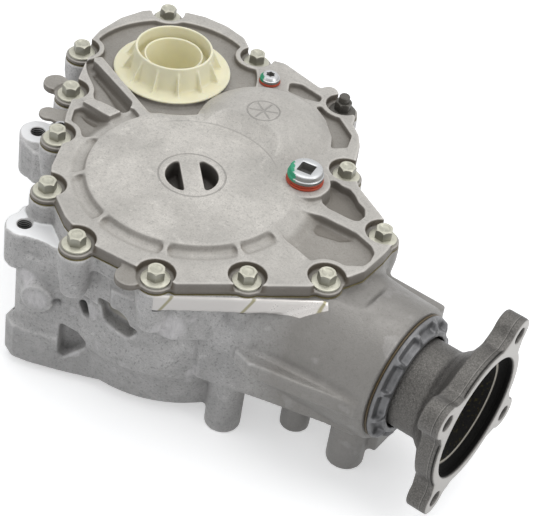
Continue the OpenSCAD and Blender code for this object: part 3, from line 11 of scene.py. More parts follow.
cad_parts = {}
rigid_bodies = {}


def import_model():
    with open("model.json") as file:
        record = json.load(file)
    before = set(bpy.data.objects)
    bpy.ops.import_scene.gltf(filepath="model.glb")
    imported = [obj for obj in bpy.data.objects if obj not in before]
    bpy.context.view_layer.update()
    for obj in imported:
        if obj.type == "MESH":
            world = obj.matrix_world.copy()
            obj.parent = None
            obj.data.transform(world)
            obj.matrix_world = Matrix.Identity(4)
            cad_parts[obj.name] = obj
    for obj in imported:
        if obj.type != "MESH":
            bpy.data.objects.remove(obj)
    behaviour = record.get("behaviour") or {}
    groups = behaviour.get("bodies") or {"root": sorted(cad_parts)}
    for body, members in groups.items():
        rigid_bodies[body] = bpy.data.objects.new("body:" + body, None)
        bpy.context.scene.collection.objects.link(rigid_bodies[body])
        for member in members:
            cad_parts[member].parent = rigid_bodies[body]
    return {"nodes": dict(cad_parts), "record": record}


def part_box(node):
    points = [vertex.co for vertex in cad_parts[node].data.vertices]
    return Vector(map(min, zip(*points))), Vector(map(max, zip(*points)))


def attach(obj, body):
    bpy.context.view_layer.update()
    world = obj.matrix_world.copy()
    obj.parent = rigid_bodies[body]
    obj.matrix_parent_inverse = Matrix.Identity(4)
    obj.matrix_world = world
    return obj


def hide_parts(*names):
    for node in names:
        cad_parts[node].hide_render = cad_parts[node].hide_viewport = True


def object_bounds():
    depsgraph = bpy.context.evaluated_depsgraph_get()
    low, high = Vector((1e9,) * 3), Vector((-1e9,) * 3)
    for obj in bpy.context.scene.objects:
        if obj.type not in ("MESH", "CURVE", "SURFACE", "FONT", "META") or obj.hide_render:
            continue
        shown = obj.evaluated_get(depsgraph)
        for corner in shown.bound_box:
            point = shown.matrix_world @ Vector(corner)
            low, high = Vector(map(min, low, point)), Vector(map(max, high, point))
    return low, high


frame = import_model()
CAD_LOW, CAD_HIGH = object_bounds()

bl_info = {
    "name": "Power take-off unit",
    "version": (1, 0, 0),
    "blender": (4, 5, 0),
    "location": "3D View > Sidebar > Transfer unit",
    "description": "Builds the visible pieces of a power take-off unit around its packed frame",
    "category": "Object",
}

MM = 0.001
# Axes of the transfer shaft and of the output shaft, in metres
TRANSFER = Vector((0.0825, -0.0851, 0))
OUTPUT_Z = 0.0721
# Heights of the joint between the castings, of the cover's edge and of its disc
JOINT_Z = 0.117
EDGE_TOP = 0.126
DISC_TOP = 0.130
# Middle of the bare casting circle on the dome, and how many lines cross it
MARK = (0.0805, -0.0088)
MARK_LINES = 3
# Straight lines seen from above: across and along the flange's strip, and across and along
# the recess in the belly's front
STRIP_OUT, STRIP_SIDE = (0.654, -0.756, 0), (0.756, 0.654, 0)
RECESS_IN, RECESS_SIDE = (0.267, -0.964, 0), (0.964, 0.267, 0)
# Threaded holes of the two bracket pads, and the pitch of their threads
PAD_NEAR, PAD_FAR = (0.0208, -0.1674, 0), (-0.0415, -0.0853, 0)
PITCH = 1.5 * MM
# Rubbed patches on the housing: the middle of each, and its radius in millimetres
RUBBED = (((0.0410, -0.1757, 0.0624), 10), ((0.1310, -0.1640, 0.084), 13),
          ((0.0330, -0.178, 0.074), 7))
# Cover bolts and the stud bolt, in millimetres from the transfer shaft
BOLT_SPOTS = [(-127, 137), (-140.3, 60.6), (-50.5, 138.3), (-114.4, 19.6), (-90, -21.7),
              (-60, -64.6), (-14.9, -90), (37.4, -81), (77.3, -45.6), (111.7, -13.5),
              (114.5, 44.4), (64, 79)]
STUD_SPOT = (23, 135.4)
# Height of the cover bolts' heads over their seats
BOLT_HIGH = 8.5 * MM

# Colours that no user sets
BROWN_STAIN_AND_SHADE, GREY_STAIN_AND_SHADE = (0.115, 0.088, 0.058), (0.085, 0.082, 0.08)
WALL_SHADE, HOLLOW_SHADE = (0.12, 0.105, 0.088), (0.15, 0.132, 0.108)
NOTCH_OXIDE_AND_SHADE = (0.10, 0.078, 0.055)
SLOT_SHADE, LINE_BLACK, STRIP_SHADOW_BLACK, CUP_SHADE = (
    (0.05, 0.045, 0.04), (0.02, 0.02, 0.02), (0.01, 0.01, 0.01), (0.008, 0.008, 0.008))
NOSE_TINT_AND_SHADE, RUBBED_GREY = (0.20, 0.19, 0.175), (0.72, 0.70, 0.70)
RECESS_DARK, RECESS_PALE = (0.26, 0.245, 0.205), (0.80, 0.77, 0.68)
STRIP_PALE, STRIP_OLIVE, PAD_HIGHLIGHT_WHITE = (0.72, 0.69, 0.66), (0.30, 0.27, 0.12), (0.93, 0.93, 0.93)
CUP_SPECK, CUP_STEP = (0.07, 0.06, 0.02), (0.35, 0.33, 0.29)
CAP_HIGHLIGHT, CAP_CORNER_SHADE = (0.93, 0.90, 0.74), (0.42, 0.36, 0.17)
PAINT_GREEN, SOCKET_SHADE, PLUG_SIDE_SHADE = (0.02, 0.30, 0.16), (0.10, 0.095, 0.085), (0.14, 0.135, 0.12)

# A remeshed casting is thinned to this many triangles
MOST_FACES = 195000
# Points nearer than this are one
MERGE = 0.002 * MM

# Directions of the picture's right side and of its top
VIEW_RIGHT, VIEW_UP = Vector((0.8028, 0.5829, 0.1258)), Vector((-0.4635, 0.4773, 0.7466))


# Shader maths

class Wire:
    """One output of a shader node, joined to others with Python's signs."""

    def __init__(self, finish, socket):
        self.finish, self.socket = finish, socket

    def calc(self, operation, *values):
        inputs = dict(enumerate(values))
        return self.finish.add("ShaderNodeMath", {"operation": operation}, inputs)

    def __add__(self, other):
        return self.calc("ADD", self, other)

    def __sub__(self, other):
        return self.calc("SUBTRACT", self, other)

    def __rsub__(self, other):
        return self.calc("SUBTRACT", other, self)

    def __mul__(self, other):
        return self.calc("MULTIPLY", self, other)

    __radd__, __rmul__ = __add__, __mul__


class Wiring:
    """The nodes of a material or of the world."""

    def __init__(self, owner):
        owner.use_nodes = True
        self.tree = owner.node_tree
        self.tree.nodes.clear()

    def add(self, kind, settings, inputs, pick=0):
        """Any node: its settings first, then the values or links of its sockets."""
        node = self.tree.nodes.new(kind)
        for key, value in settings.items():
            setattr(node, key, value)
        for key, value in inputs.items():
            if isinstance(value, Wire):
                self.tree.links.new(value.socket, node.inputs[key])
            else:
                node.inputs[key].default_value = value
        return Wire(self, node.outputs[pick]) if len(node.outputs) else None

    def seen_white(self, dim, white, surface_end):
        """Ends the tree: white to the camera and to mirrors, dim as a source of light."""
        seen = self.add("ShaderNodeLightPath", {}, {}, "Is Camera Ray")
        for ray in ("Is Glossy Ray", "Is Transmission Ray"):
            seen = seen.calc("MAXIMUM", seen, self.add("ShaderNodeLightPath", {}, {}, ray))
        mix = self.add("ShaderNodeMixShader", {}, {0: seen, 1: dim, 2: white})
        self.add(surface_end, {}, {"Surface": mix})


class Finish(Wiring):
    """A node material for one of the unit's surfaces, in the object's own metres."""

    def __init__(self, name):
        self.material = bpy.data.materials.new(name)
        super().__init__(self.material)
        self.place = self.add("ShaderNodeTexCoord", {}, {}, "Object")
        self.facing = self.add("ShaderNodeTexCoord", {}, {}, "Normal")

    def noise(self, size_mm, detail=2.0, rough=0.5, stretch=(1, 1, 1)):
        """Noise whose blots are about size_mm wide, from 0 to 1."""
        place = self.place
        if stretch != (1, 1, 1):
            place = self.add("ShaderNodeMapping", {}, {"Vector": place, "Scale": stretch})
        return self.add("ShaderNodeTexNoise", {}, {
            "Vector": place, "Scale": 1000 / size_mm, "Detail": detail, "Roughness": rough})

    def cells(self, size_mm):
        """Distance from the middle of cells about size_mm wide."""
        return self.add("ShaderNodeTexVoronoi", {}, {
            "Vector": self.place, "Scale": 1000 / size_mm}, "Distance")

    def ramp(self, value, low, high, start=0.0, end=1.0):
        """value taken from low..high to start..end, held at both ends."""
        return self.add("ShaderNodeMapRange", {"clamp": True}, {
            "Value": value, "From Min": low, "From Max": high, "To Min": start, "To Max": end})

    def blend(self, factor, one, other):
        """A colour between one and other."""
        def colour(c):
            return c if isinstance(c, Wire) else (*c[:3], 1.0)
        return self.add("ShaderNodeMix", {"data_type": "RGBA"}, {
            0: factor, 6: colour(one), 7: colour(other)}, 2)

    def axis(self, letter, vector=None):
        """One axis of a vector, or of the place on the piece."""
        return self.add("ShaderNodeSeparateXYZ", {}, {0: vector or self.place}, letter)

    def reach(self, centre, axes=(1, 1, 1)):
        """Distance from centre along the axes that are 1, in metres."""
        moved = self.add("ShaderNodeVectorMath", {"operation": "SUBTRACT"}, {
            0: self.place, 1: tuple(centre)})
        kept = self.add("ShaderNodeVectorMath", {"operation": "MULTIPLY"}, {0: moved, 1: axes})
        return self.add("ShaderNodeVectorMath", {"operation": "LENGTH"}, {0: kept}, "Value")

    def edge(self):
        """How sharply the surface stands out, 0.5 where it is flat."""
        return self.add("ShaderNodeNewGeometry", {}, {}, "Pointiness")

    def band(self, value, low, high, soft):
        """1 where value lies between low and high, and 0 outside, over a soft rim."""
        return self.ramp(value, low, low + soft) * self.ramp(value, high, high - soft)

    def along(self, direction):
        """How far the place lies in a direction, in metres."""
        return self.add("ShaderNodeVectorMath", {"operation": "DOT_PRODUCT"}, {
            0: self.place, 1: direction}, "Value")

    def relief(self, height_mm):
        """A bump from a height in millimetres."""
        return self.add("ShaderNodeBump", {}, {
            "Height": height_mm, "Distance": MM, "Strength": 1.0})

    def skin(self, colour, roughness, metallic=0.0, normal=None, **fixed):
        """Ends the material with its shader."""
        inputs = {"Base Color": colour if isinstance(colour, Wire) else (*colour[:3], 1.0),
                  "Roughness": roughness, "Metallic": metallic}
        if normal:
            inputs["Normal"] = normal
        inputs.update({key.replace("_", " "): value for key, value in fixed.items()})
        shader = self.add("ShaderNodeBsdfPrincipled", {}, inputs)
        self.add("ShaderNodeOutputMaterial", {}, {"Surface": shader})
        return self.material


def shade(colour, share):
    """A colour made lighter or darker."""
    return tuple(min(1.0, c * share) for c in colour)


def casting_finish(name, colour, stain_and_shade, grain_mm, warm, blots):
    """Shot-blasted cast aluminium: fine grain, cloudy stains, edges lighter as wear and painted
    highlight, and hollows darker as stain and painted shade.
    """
    f = Finish(name)
    cloud = f.noise(34, 4, 0.6)
    patch = f.noise(9, 5, 0.7)
    grain = f.noise(grain_mm, 3, 0.75)
    speck = f.noise(1.7, 2, 0.6)
    pits = f.ramp(f.cells(2.2), 0.0, 0.14)
    edge = f.edge()
    tone = f.blend(f.ramp(cloud, 0.38, 0.66), shade(colour, 1.14), shade(colour, 0.86))
    tone = f.blend(f.ramp(patch, 0.5, 0.66) * 0.55, tone, warm)
    tone = f.blend(f.ramp(patch, 0.4, 0.32) * 0.5, tone, shade(colour, 1.4))
    tone = f.blend(f.ramp(grain, 0.4, 0.66) * 0.4, tone, shade(colour, 0.5))
    tone = f.blend(f.ramp(speck, 0.57, 0.66) * blots, tone, shade(colour, 0.35))
    tone = f.blend((1 - pits) * 0.4, tone, shade(colour, 0.35))
    # Edges lighter: partly wear, partly painted highlight
    tone = f.blend(f.ramp(edge, 0.508, 0.55) * 0.65, tone, shade(colour, 1.6))
    # Hollows darker: partly stain, partly painted shade
    tone = f.blend(f.ramp(edge, 0.495, 0.455) * 0.75, tone, stain_and_shade)
    height = grain * 0.2 + patch * 0.2 + pits * 0.14
    rough = f.ramp(patch, 0.3, 0.8, 0.42, 0.62) + grain * 0.08
    return f, tone, rough, height


def cover_finish(looks):
    """The cover's aluminium: browner around the bolts, partly oxide and partly painted shade, with
    the marks on its disc and its dome.
    """
    colour = looks.cover_colour
    f, tone, rough, height = casting_finish(
        "cover aluminium", colour, BROWN_STAIN_AND_SHADE, 0.8, shade(colour, 0.86), 0.3)
    # Painted shade: upright walls, the low band above the joint and the pockets' floors are darker;
    # the notch walls around the bolts are browner, partly oxide and partly painted shade
    up = f.axis("Z", f.facing)
    near = f.reach(TRANSFER + Vector((*STUD_SPOT, 0)) * MM, (1, 1, 0))
    for spot in BOLT_SPOTS:
        near = near.calc("MINIMUM", near, f.reach(TRANSFER + Vector((*spot, 0)) * MM, (1, 1, 0)))
    z = f.axis("Z")
    notch = f.ramp(near, 14.5 * MM, 12.5 * MM) * f.ramp(up, 0.8, 0.3) * f.ramp(
        z, 0.1195, 0.1205)
    wall = f.ramp(up, 0.75, 0.3)
    low = f.ramp(z, EDGE_TOP - 1.2 * MM, EDGE_TOP - 3.5 * MM) * f.ramp(
        z, JOINT_Z - 0.5 * MM, JOINT_Z + 0.5 * MM)
    deep = f.ramp(z, 0.1196, 0.1190)
    hub = f.reach(TRANSFER, (1, 1, 0))
    tone = f.blend(f.ramp(hub, 63 * MM, 66 * MM) * 0.3, tone, shade(colour, 0.68))
    # Upright walls painted darker as painted shade
    tone = f.blend(wall * 0.7, tone, WALL_SHADE)
    # Painted shade on the low band above the joint and on the pockets' floors
    tone = f.blend(low * 0.45 + deep * 0.3, tone, HOLLOW_SHADE)
    # Notch walls by the bolts browner: partly oxide, partly painted shade
    tone = f.blend(notch * 0.72, tone, NOTCH_OXIDE_AND_SHADE)
    # Ring groove around the hub mark, and the bare casting circle on the dome
    groove = f.band(hub, 20.3 * MM, 21.5 * MM, 0.3 * MM)
    slots = f.ramp(hub, 17.2 * MM, 16.6 * MM) * f.ramp(
        z, DISC_TOP - 0.8 * MM, DISC_TOP - 2.2 * MM)
    mark = f.reach((*MARK, 0), (1, 1, 0))
    circle = f.band(mark, 9.9 * MM, 11.1 * MM, 0.4 * MM)
    turn = f.add("ShaderNodeMath", {"operation": "ARCTAN2"}, {
        0: f.axis("X") - MARK[0], 1: f.axis("Y") - MARK[1]})
    spokes = f.add("ShaderNodeMath", {"operation": "PINGPONG"}, {0: turn, 1: pi / (2 * MARK_LINES)})
    spokes = f.ramp(spokes * mark, 0.8 * MM, 0.3 * MM) * f.ramp(mark, 9.6 * MM, 9.0 * MM)
    high = f.ramp(z, EDGE_TOP - 1 * MM, EDGE_TOP)
    line = (groove + circle + spokes) * high
    tone = f.blend(line * 0.5, tone, shade(colour, 0.45))
    # Painted shade line in the crease where the disc meets the dome, on the side of the dome
    crease = (f.band(hub, 54.3 * MM, 55.5 * MM, 0.4 * MM) * f.ramp(f.axis("Y"), -0.058, -0.050)
              * f.ramp(z, DISC_TOP - 0.8 * MM, DISC_TOP - 0.3 * MM)
              * f.ramp(f.axis("X"), 0.118, 0.112))
    tone = f.blend(crease * 0.45, tone, shade(colour, 0.45))
    # Painted shade inside the hub's slots
    tone = f.blend(slots * 0.7, tone, SLOT_SHADE)
    return f.skin(tone, rough, looks.metal_share, f.relief(height - line * 0.45))


def housing_finish(looks):
    """The housing's aluminium: darker on the nose, partly painted shade, with its machined faces and
    rubbed patches.
    """
    colour = looks.housing_colour
    f, tone, rough, height = casting_finish(
        "housing aluminium", colour, GREY_STAIN_AND_SHADE, 1.0, shade(colour, 0.74), 0.5)
    x, z = f.axis("X"), f.axis("Z")
    up = f.axis("Z", f.facing)
    # The nose is darker and warmer, partly a warmer tone and partly painted shade, and what hangs
    # low is painted darker as painted shade
    nose = f.ramp(x, 0.160, 0.195)
    tone = f.blend(nose * 0.85, tone, NOSE_TINT_AND_SHADE)
    # Painted shade: darker towards the bottom
    tone = f.blend(f.ramp(z, 0.045, 0.015) * 0.35, tone, shade(colour, 0.55))
    # Rubbed patches: pale and a little streaky
    scrape = f.noise(2.2, 3, 0.7, (1, 1, 0.4))
    where = f.ramp(f.noise(17, 3, 0.5), 0.63, 0.69) * f.ramp(nose, 0, 1, 0.6, 0.15)
    for centre, size in RUBBED:
        where = where.calc("MAXIMUM", where, f.ramp(f.reach(centre), size * MM, 0.6 * size * MM))
    tone = f.blend(where * f.ramp(scrape, 0.3, 0.6, 0.35, 0.85), tone, RUBBED_GREY)
    # Smooth floor of the recess in the belly's front, lighter towards its right end
    inward = f.along(RECESS_IN)
    aside = f.along(RECESS_SIDE)
    floor = (f.band(inward, 0.1735, 0.1750, 0.3 * MM) * f.band(aside, 0.0300, 0.0640, 1 * MM)
             * f.band(z, 0.057, 0.083, 1 * MM))
    tone = f.blend(floor * 0.85, tone, f.blend(
        f.ramp(aside, 0.036, 0.056), RECESS_DARK, RECESS_PALE))
    # Machined faces: the flange's front strip and the tops of the bracket pads
    out = f.along(STRIP_OUT)
    side = f.along(STRIP_SIDE)
    strip = (f.band(out, 0.2134, 0.2180, 0.3 * MM) * f.band(side, -0.0195, 0.0835, 0.5 * MM)
             * f.band(z, 0.1057, JOINT_Z - 0.2 * MM, 0.3 * MM))
    # Painted shadow line under the strip's left half, where it overhangs, and slanting olive marks
    # across the strip
    strip_shadow = (f.band(out, 0.2110, 0.2165, 0.3 * MM) * f.band(side, -0.0195, 0.0360, 0.5 * MM)
           * f.band(z, 0.1044, 0.1058, 0.2 * MM))
    slash = side - (z - 0.111) * 0.6
    olive = f.band(slash, -0.0135, -0.0105, 1 * MM)
    for middle in (0.036, 0.078):
        olive = olive + f.band(slash, middle - 1.6 * MM, middle + 1.6 * MM, 1 * MM)
    # Machined pads around the two threaded holes, their upward faces painted near white: partly
    # machined metal, partly painted highlight
    near = f.reach(PAD_NEAR, (1, 1, 0))
    far = f.reach(PAD_FAR, (1, 1, 0))
    pads = f.band(z, 0.1030, 0.1050, 0.3 * MM) * f.ramp(near, 32 * MM, 31 * MM)
    pads = pads + f.band(z, 0.0950, 0.0970, 0.3 * MM) * f.ramp(far, 12.6 * MM, 11.8 * MM)
    pads = pads * f.ramp(up, 0.8, 0.95)
    turns = f.add("ShaderNodeMath", {"operation": "SINE"}, {0: z * (2 * pi / PITCH)})
    thread = f.ramp(near.calc("MINIMUM", near, far), 5.2 * MM, 4.9 * MM) * f.ramp(
        z, 0.1032, 0.1026)
    tone = f.blend(thread * f.ramp(turns, -0.3, 0.3), tone, LINE_BLACK)
    # Painted shadow line under the strip
    tone = f.blend(strip_shadow * 0.95, tone, STRIP_SHADOW_BLACK)
    tone = f.blend(strip, tone, STRIP_PALE)
    tone = f.blend(strip * olive * 0.8, tone, STRIP_OLIVE)
    # Pads near white: partly machined face, partly painted highlight
    tone = f.blend(pads, tone, PAD_HIGHLIGHT_WHITE)
    smooth = 1 - strip.calc("MAXIMUM", strip, pads)
    return f.skin(tone, rough - (1 - smooth) * 0.15 - nose * 0.1, nose * 0.35 + looks.metal_share,
                  f.relief((height + where * scrape * 0.2) * smooth))


def iron_finish(looks):
    """Dark cast iron with grain and painted glints, a paler turned face and a cup darkened as
    painted shade.
    """
    f = Finish("cast iron")
    colour = looks.iron_colour
    grain = f.noise(1.1, 3, 0.7)
    glint = f.cells(0.8)
    tone = f.blend(f.ramp(grain, 0.35, 0.7), shade(colour, 0.7), shade(colour, 1.4))
    # Painted glints on the grain
    tone = f.blend(f.ramp(glint, 0.3, 0.1) * 0.45, tone, shade(colour, 3.2))
    # Pale turned face at the end, with a dark groove line and a paler ridge line behind its rim
    x = f.axis("X")
    face = f.ramp(x, CAD_HIGH.x - 0.5 * MM, CAD_HIGH.x - 0.2 * MM)
    turned = f.reach((0, TRANSFER.y, OUTPUT_Z), (0, 1, 1))
    lines = f.add("ShaderNodeMath", {"operation": "SINE"}, {0: turned * (2 * pi / (0.9 * MM))})
    tone = f.blend(face, tone, shade(colour, 3.0))
    # Edges painted lighter as painted highlight
    edge = f.ramp(f.edge(), 0.51, 0.58)
    tone = f.blend(edge * 0.4, tone, shade(colour, 2.6))
    rim = f.band(x, CAD_HIGH.x - 4.2 * MM, CAD_HIGH.x - 3.6 * MM, 0.2 * MM)
    tone = f.blend(rim * 0.6, tone, LINE_BLACK)
    ridge = f.band(x, CAD_HIGH.x - 4.8 * MM, CAD_HIGH.x - 4.2 * MM, 0.2 * MM)
    tone = f.blend(ridge * 0.4, tone, shade(colour, 2.6))
    # Inside of the cup, which follows its flare: near black as painted shade, with a few gold specks
    # and a pale step
    flare = f.ramp(turned - (x - 0.2848), 31.5 * MM, 30.5 * MM)
    cup = flare.calc("MAXIMUM", flare, f.ramp(turned, 23 * MM, 22 * MM)) * f.ramp(
        x, CAD_HIGH.x - 0.6 * MM, CAD_HIGH.x - 1.6 * MM)
    inside = cup * f.ramp(x, CAD_HIGH.x - 8.2 * MM, CAD_HIGH.x - 8.6 * MM)
    speck = f.ramp(f.noise(2.4, 3, 0.6), 0.58, 0.66) * inside
    # Painted shade inside the cup
    tone = f.blend(cup * 0.95, tone, CUP_SHADE)
    tone = f.blend(speck * 0.5, tone, CUP_SPECK)
    step = cup * f.band(x, CAD_HIGH.x - 8.7 * MM, CAD_HIGH.x - 8.0 * MM, 0.2 * MM)
    tone = f.blend(step, tone, CUP_STEP)
    height = grain * (1 - face) * 0.35 + lines * face * 0.02
    rough = f.ramp(face, 0, 1, 0.48, 0.32) + cup * 0.3
    return f.skin(tone, rough, 0.8 + cup * 0.2, f.relief(height))


def turned_finish(name, colour, roughness, grain_mm=1.4, metallic=0.9, dirt=0.35, depth=0.05,
                  sides=0.0):
    """Machined or plated steel: faint streaks, dull spots, edges lighter as painted highlight,
    hollows and upright sides darker as painted shade.
    """
    f = Finish(name)
    streak = f.noise(grain_mm, 3, 0.6, (1, 1, 0.2))
    spot = f.noise(grain_mm * 4, 3, 0.6)
    edge = f.edge()
    tone = f.blend(f.ramp(spot, 0.45, 0.7) * dirt, colour, shade(colour, 0.6))
    # Edges painted lighter as painted highlight
    tone = f.blend(f.ramp(edge, 0.5, 0.56) * 0.4, tone, shade(colour, 1.4))
    # Hollows painted darker as painted shade
    tone = f.blend(f.ramp(edge, 0.49, 0.42) * 0.6, tone, shade(colour, 0.4))
    # Upright sides painted darker as painted shade
    if sides:
        shaded_upright = f.ramp(f.axis("Z", f.facing), 0.7, 0.3)
        tone = f.blend(shaded_upright * sides, tone, shade(colour, 0.4))
    rough = f.ramp(spot, 0.3, 0.7, roughness * 0.85, roughness * 1.2)
    return f.skin(tone, rough, metallic, f.relief(streak * depth))


def nylon_finish(looks):
    """Cream moulded plastic that lets some light in, with painted highlights on its edges and
    painted shade in its corners.
    """
    f = Finish("cream nylon")
    colour = looks.cap_colour
    cloud = f.noise(16, 3, 0.5)
    fine = f.noise(1.6, 2, 0.5)
    tone = f.blend(f.ramp(cloud, 0.4, 0.7), colour, shade(colour, 0.93))
    # Edges painted paler as painted highlight
    tone = f.blend(f.ramp(f.edge(), 0.51, 0.57) * 0.5, tone, CAP_HIGHLIGHT)
    # Corners painted darker as painted shade
    tone = f.blend(f.ramp(f.edge(), 0.49, 0.43) * 0.45, tone, CAP_CORNER_SHADE)
    return f.skin(tone, f.ramp(fine, 0.3, 0.7, 0.36, 0.48), 0.0, f.relief(fine * 0.03),
                  Subsurface_Weight=0.5, Subsurface_Radius=(0.009, 0.008, 0.005))


def rubber_finish(name, colour, roughness=0.55):
    """Rubber or a cured film, with fine bloom."""
    f = Finish(name)
    bloom = f.noise(2.0, 3, 0.6)
    tone = f.blend(f.ramp(bloom, 0.4, 0.7) * 0.5, colour, shade(colour, 1.8))
    return f.skin(tone, f.ramp(bloom, 0.3, 0.7, roughness, roughness + 0.15), 0.0,
                  f.relief(bloom * 0.04))


def plug_finish(looks, centre, top, size, bore, name):
    """Bright zinc plug with painted shade in its socket, in its hollows and on its upright sides,
    and a smear of green paint over one side.
    """
    f = Finish(name)
    base = looks.plug_colour
    fine = f.noise(1.2, 3, 0.6)
    side = f.axis("X") - centre[0]
    front = f.axis("Y") - centre[1]
    lean = side * -0.75 + front * -0.62 + (f.noise(3.0, 3, 0.6) - 0.5) * 0.008
    rim = f.reach(centre, (1, 1, 0))
    paint = f.ramp(lean, 0.62 * size, 0.62 * size + 0.5 * MM) * f.ramp(
        rim, 0.6 * size, 0.6 * size + 0.4 * MM)
    tone = f.blend(f.ramp(fine, 0.4, 0.7) * 0.3, base, shade(base, 0.7))
    # Hollows painted darker as painted shade
    tone = f.blend(f.ramp(f.edge(), 0.49, 0.42) * 0.7, tone, shade(base, 0.25))
    tone = f.blend(paint, tone, PAINT_GREEN)
    # Painted shade inside the socket
    socket = f.ramp(rim, bore, bore - 0.3 * MM) * f.ramp(
        f.axis("Z"), top - 0.5 * MM, top - 1.8 * MM)
    tone = f.blend(socket * 0.8, tone, SOCKET_SHADE)
    # Upright sides painted darker as painted shade
    shaded_upright = f.ramp(f.axis("Z", f.facing), 0.7, 0.3) * (1 - paint)
    tone = f.blend(shaded_upright * 0.7, tone, PLUG_SIDE_SHADE)
    dull = paint.calc("MAXIMUM", paint, socket)
    rough = f.ramp(fine, 0.3, 0.7, 0.26, 0.38) + dull * 0.2
    return f.skin(tone, rough, 0.85 - dull * 0.7, f.relief(fine * 0.03))


# Modelling steps

def alone(piece):
    """Makes piece the only selected object, and the active one."""
    for other in bpy.context.view_layer.objects:
        other.select_set(False)
    piece.select_set(True)
    bpy.context.view_layer.objects.active = piece


def settle(piece):
    """Puts the piece's place into its mesh."""
    alone(piece)
    bpy.ops.object.transform_apply(location=True, rotation=True, scale=True)


def modify(piece, kind, **values):
    """Adds a modifier and applies it."""
    alone(piece)
    modifier = piece.modifiers.new(kind.lower(), kind)
    for key, value in values.items():
        setattr(modifier, key, value)
    bpy.ops.object.modifier_apply(modifier=modifier.name)


def copied(node, name):
    """A CAD node's shape as a new piece, with its loose triangles merged."""
    piece = bpy.data.objects.new(name, frame["nodes"][node].data.copy())
    piece.data.name = name
    piece.data.materials.clear()
    bpy.context.scene.collection.objects.link(piece)
    alone(piece)
    bpy.ops.object.mode_set(mode="EDIT")
    bpy.ops.mesh.select_all(action="SELECT")
    bpy.ops.mesh.remove_doubles(threshold=MERGE)
    bpy.ops.object.mode_set(mode="OBJECT")
    return piece


def cast_skin(piece, voxel, fillet, passes=2):
    """Rounds a shape as a casting is: hollow corners fill up and edges soften."""
    modify(piece, "REMESH", mode="VOXEL", voxel_size=voxel, use_smooth_shade=True)
    if fillet:
        for way in (1, -1):
            modify(piece, "DISPLACE", strength=way * fillet, mid_level=0.0)
            modify(piece, "REMESH", mode="VOXEL", voxel_size=voxel, use_smooth_shade=True)
    modify(piece, "SMOOTH", factor=0.5, iterations=passes)
    faces = 2 * len(piece.data.polygons)
    if faces > MOST_FACES:
        modify(piece, "DECIMATE", ratio=MOST_FACES / faces)
    alone(piece)
    bpy.ops.object.shade_smooth()


def dress(piece, body, slot, material, *nodes):
    """Gives a finished piece its body and material, and hides what it stands for; its slot is not
    used.
    """
    piece.data.materials.clear()
    piece.data.materials.append(material)
    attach(piece, body)
    if nodes:
        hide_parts(*nodes)


def softened(piece, width, segments=2, angle=35):
    """Bevels the sharp edges and shades the rest smooth."""
    modify(piece, "BEVEL", width=width, segments=segments, limit_method="ANGLE",
           angle_limit=radians(angle))
    alone(piece)
    bpy.ops.object.shade_smooth_by_angle(angle=radians(angle))


def turned(name, profile, steps):
    """A shape turned about the Z axis from a profile of (radius, height) points, in metres."""
    bpy.ops.mesh.primitive_plane_add(size=1, location=(0, 0, 0))
    piece = bpy.context.active_object
    piece.name = piece.data.name = name
    bpy.ops.object.mode_set(mode="EDIT")
    bpy.ops.mesh.select_all(action="SELECT")
    bpy.ops.mesh.merge(type="CENTER")
    bpy.ops.transform.translate(value=(profile[0][0], 0, profile[0][1]))
    for here, there in zip(profile, profile[1:]):
        step = (there[0] - here[0], 0, there[1] - here[1])
        bpy.ops.mesh.extrude_region_move(TRANSFORM_OT_translate={"value": step})
    bpy.ops.mesh.select_all(action="SELECT")
    bpy.ops.mesh.spin(steps=steps, angle=2 * pi, center=(0, 0, 0), axis=(0, 0, 1))
    bpy.ops.mesh.select_all(action="SELECT")
    bpy.ops.mesh.remove_doubles(threshold=MERGE)
    bpy.ops.mesh.normals_make_consistent(inside=False)
    bpy.ops.object.mode_set(mode="OBJECT")
    return piece


def cut_away(piece, cutter):
    """Takes the cutter's shape out of the piece, and removes the cutter."""
    modify(piece, "BOOLEAN", operation="DIFFERENCE", object=cutter, solver="EXACT")
    bpy.data.objects.remove(cutter)


def copy_at(piece, name, place, turn):
    """A copy of the piece with its own mesh, turned about Z and moved."""
    twin = bpy.data.objects.new(name, piece.data.copy())
    twin.data.name = name
    bpy.context.scene.collection.objects.link(twin)
    twin.data.transform(Matrix.Translation(place) @ Matrix.Rotation(turn, 4, "Z"))
    return twin


# What a user may change

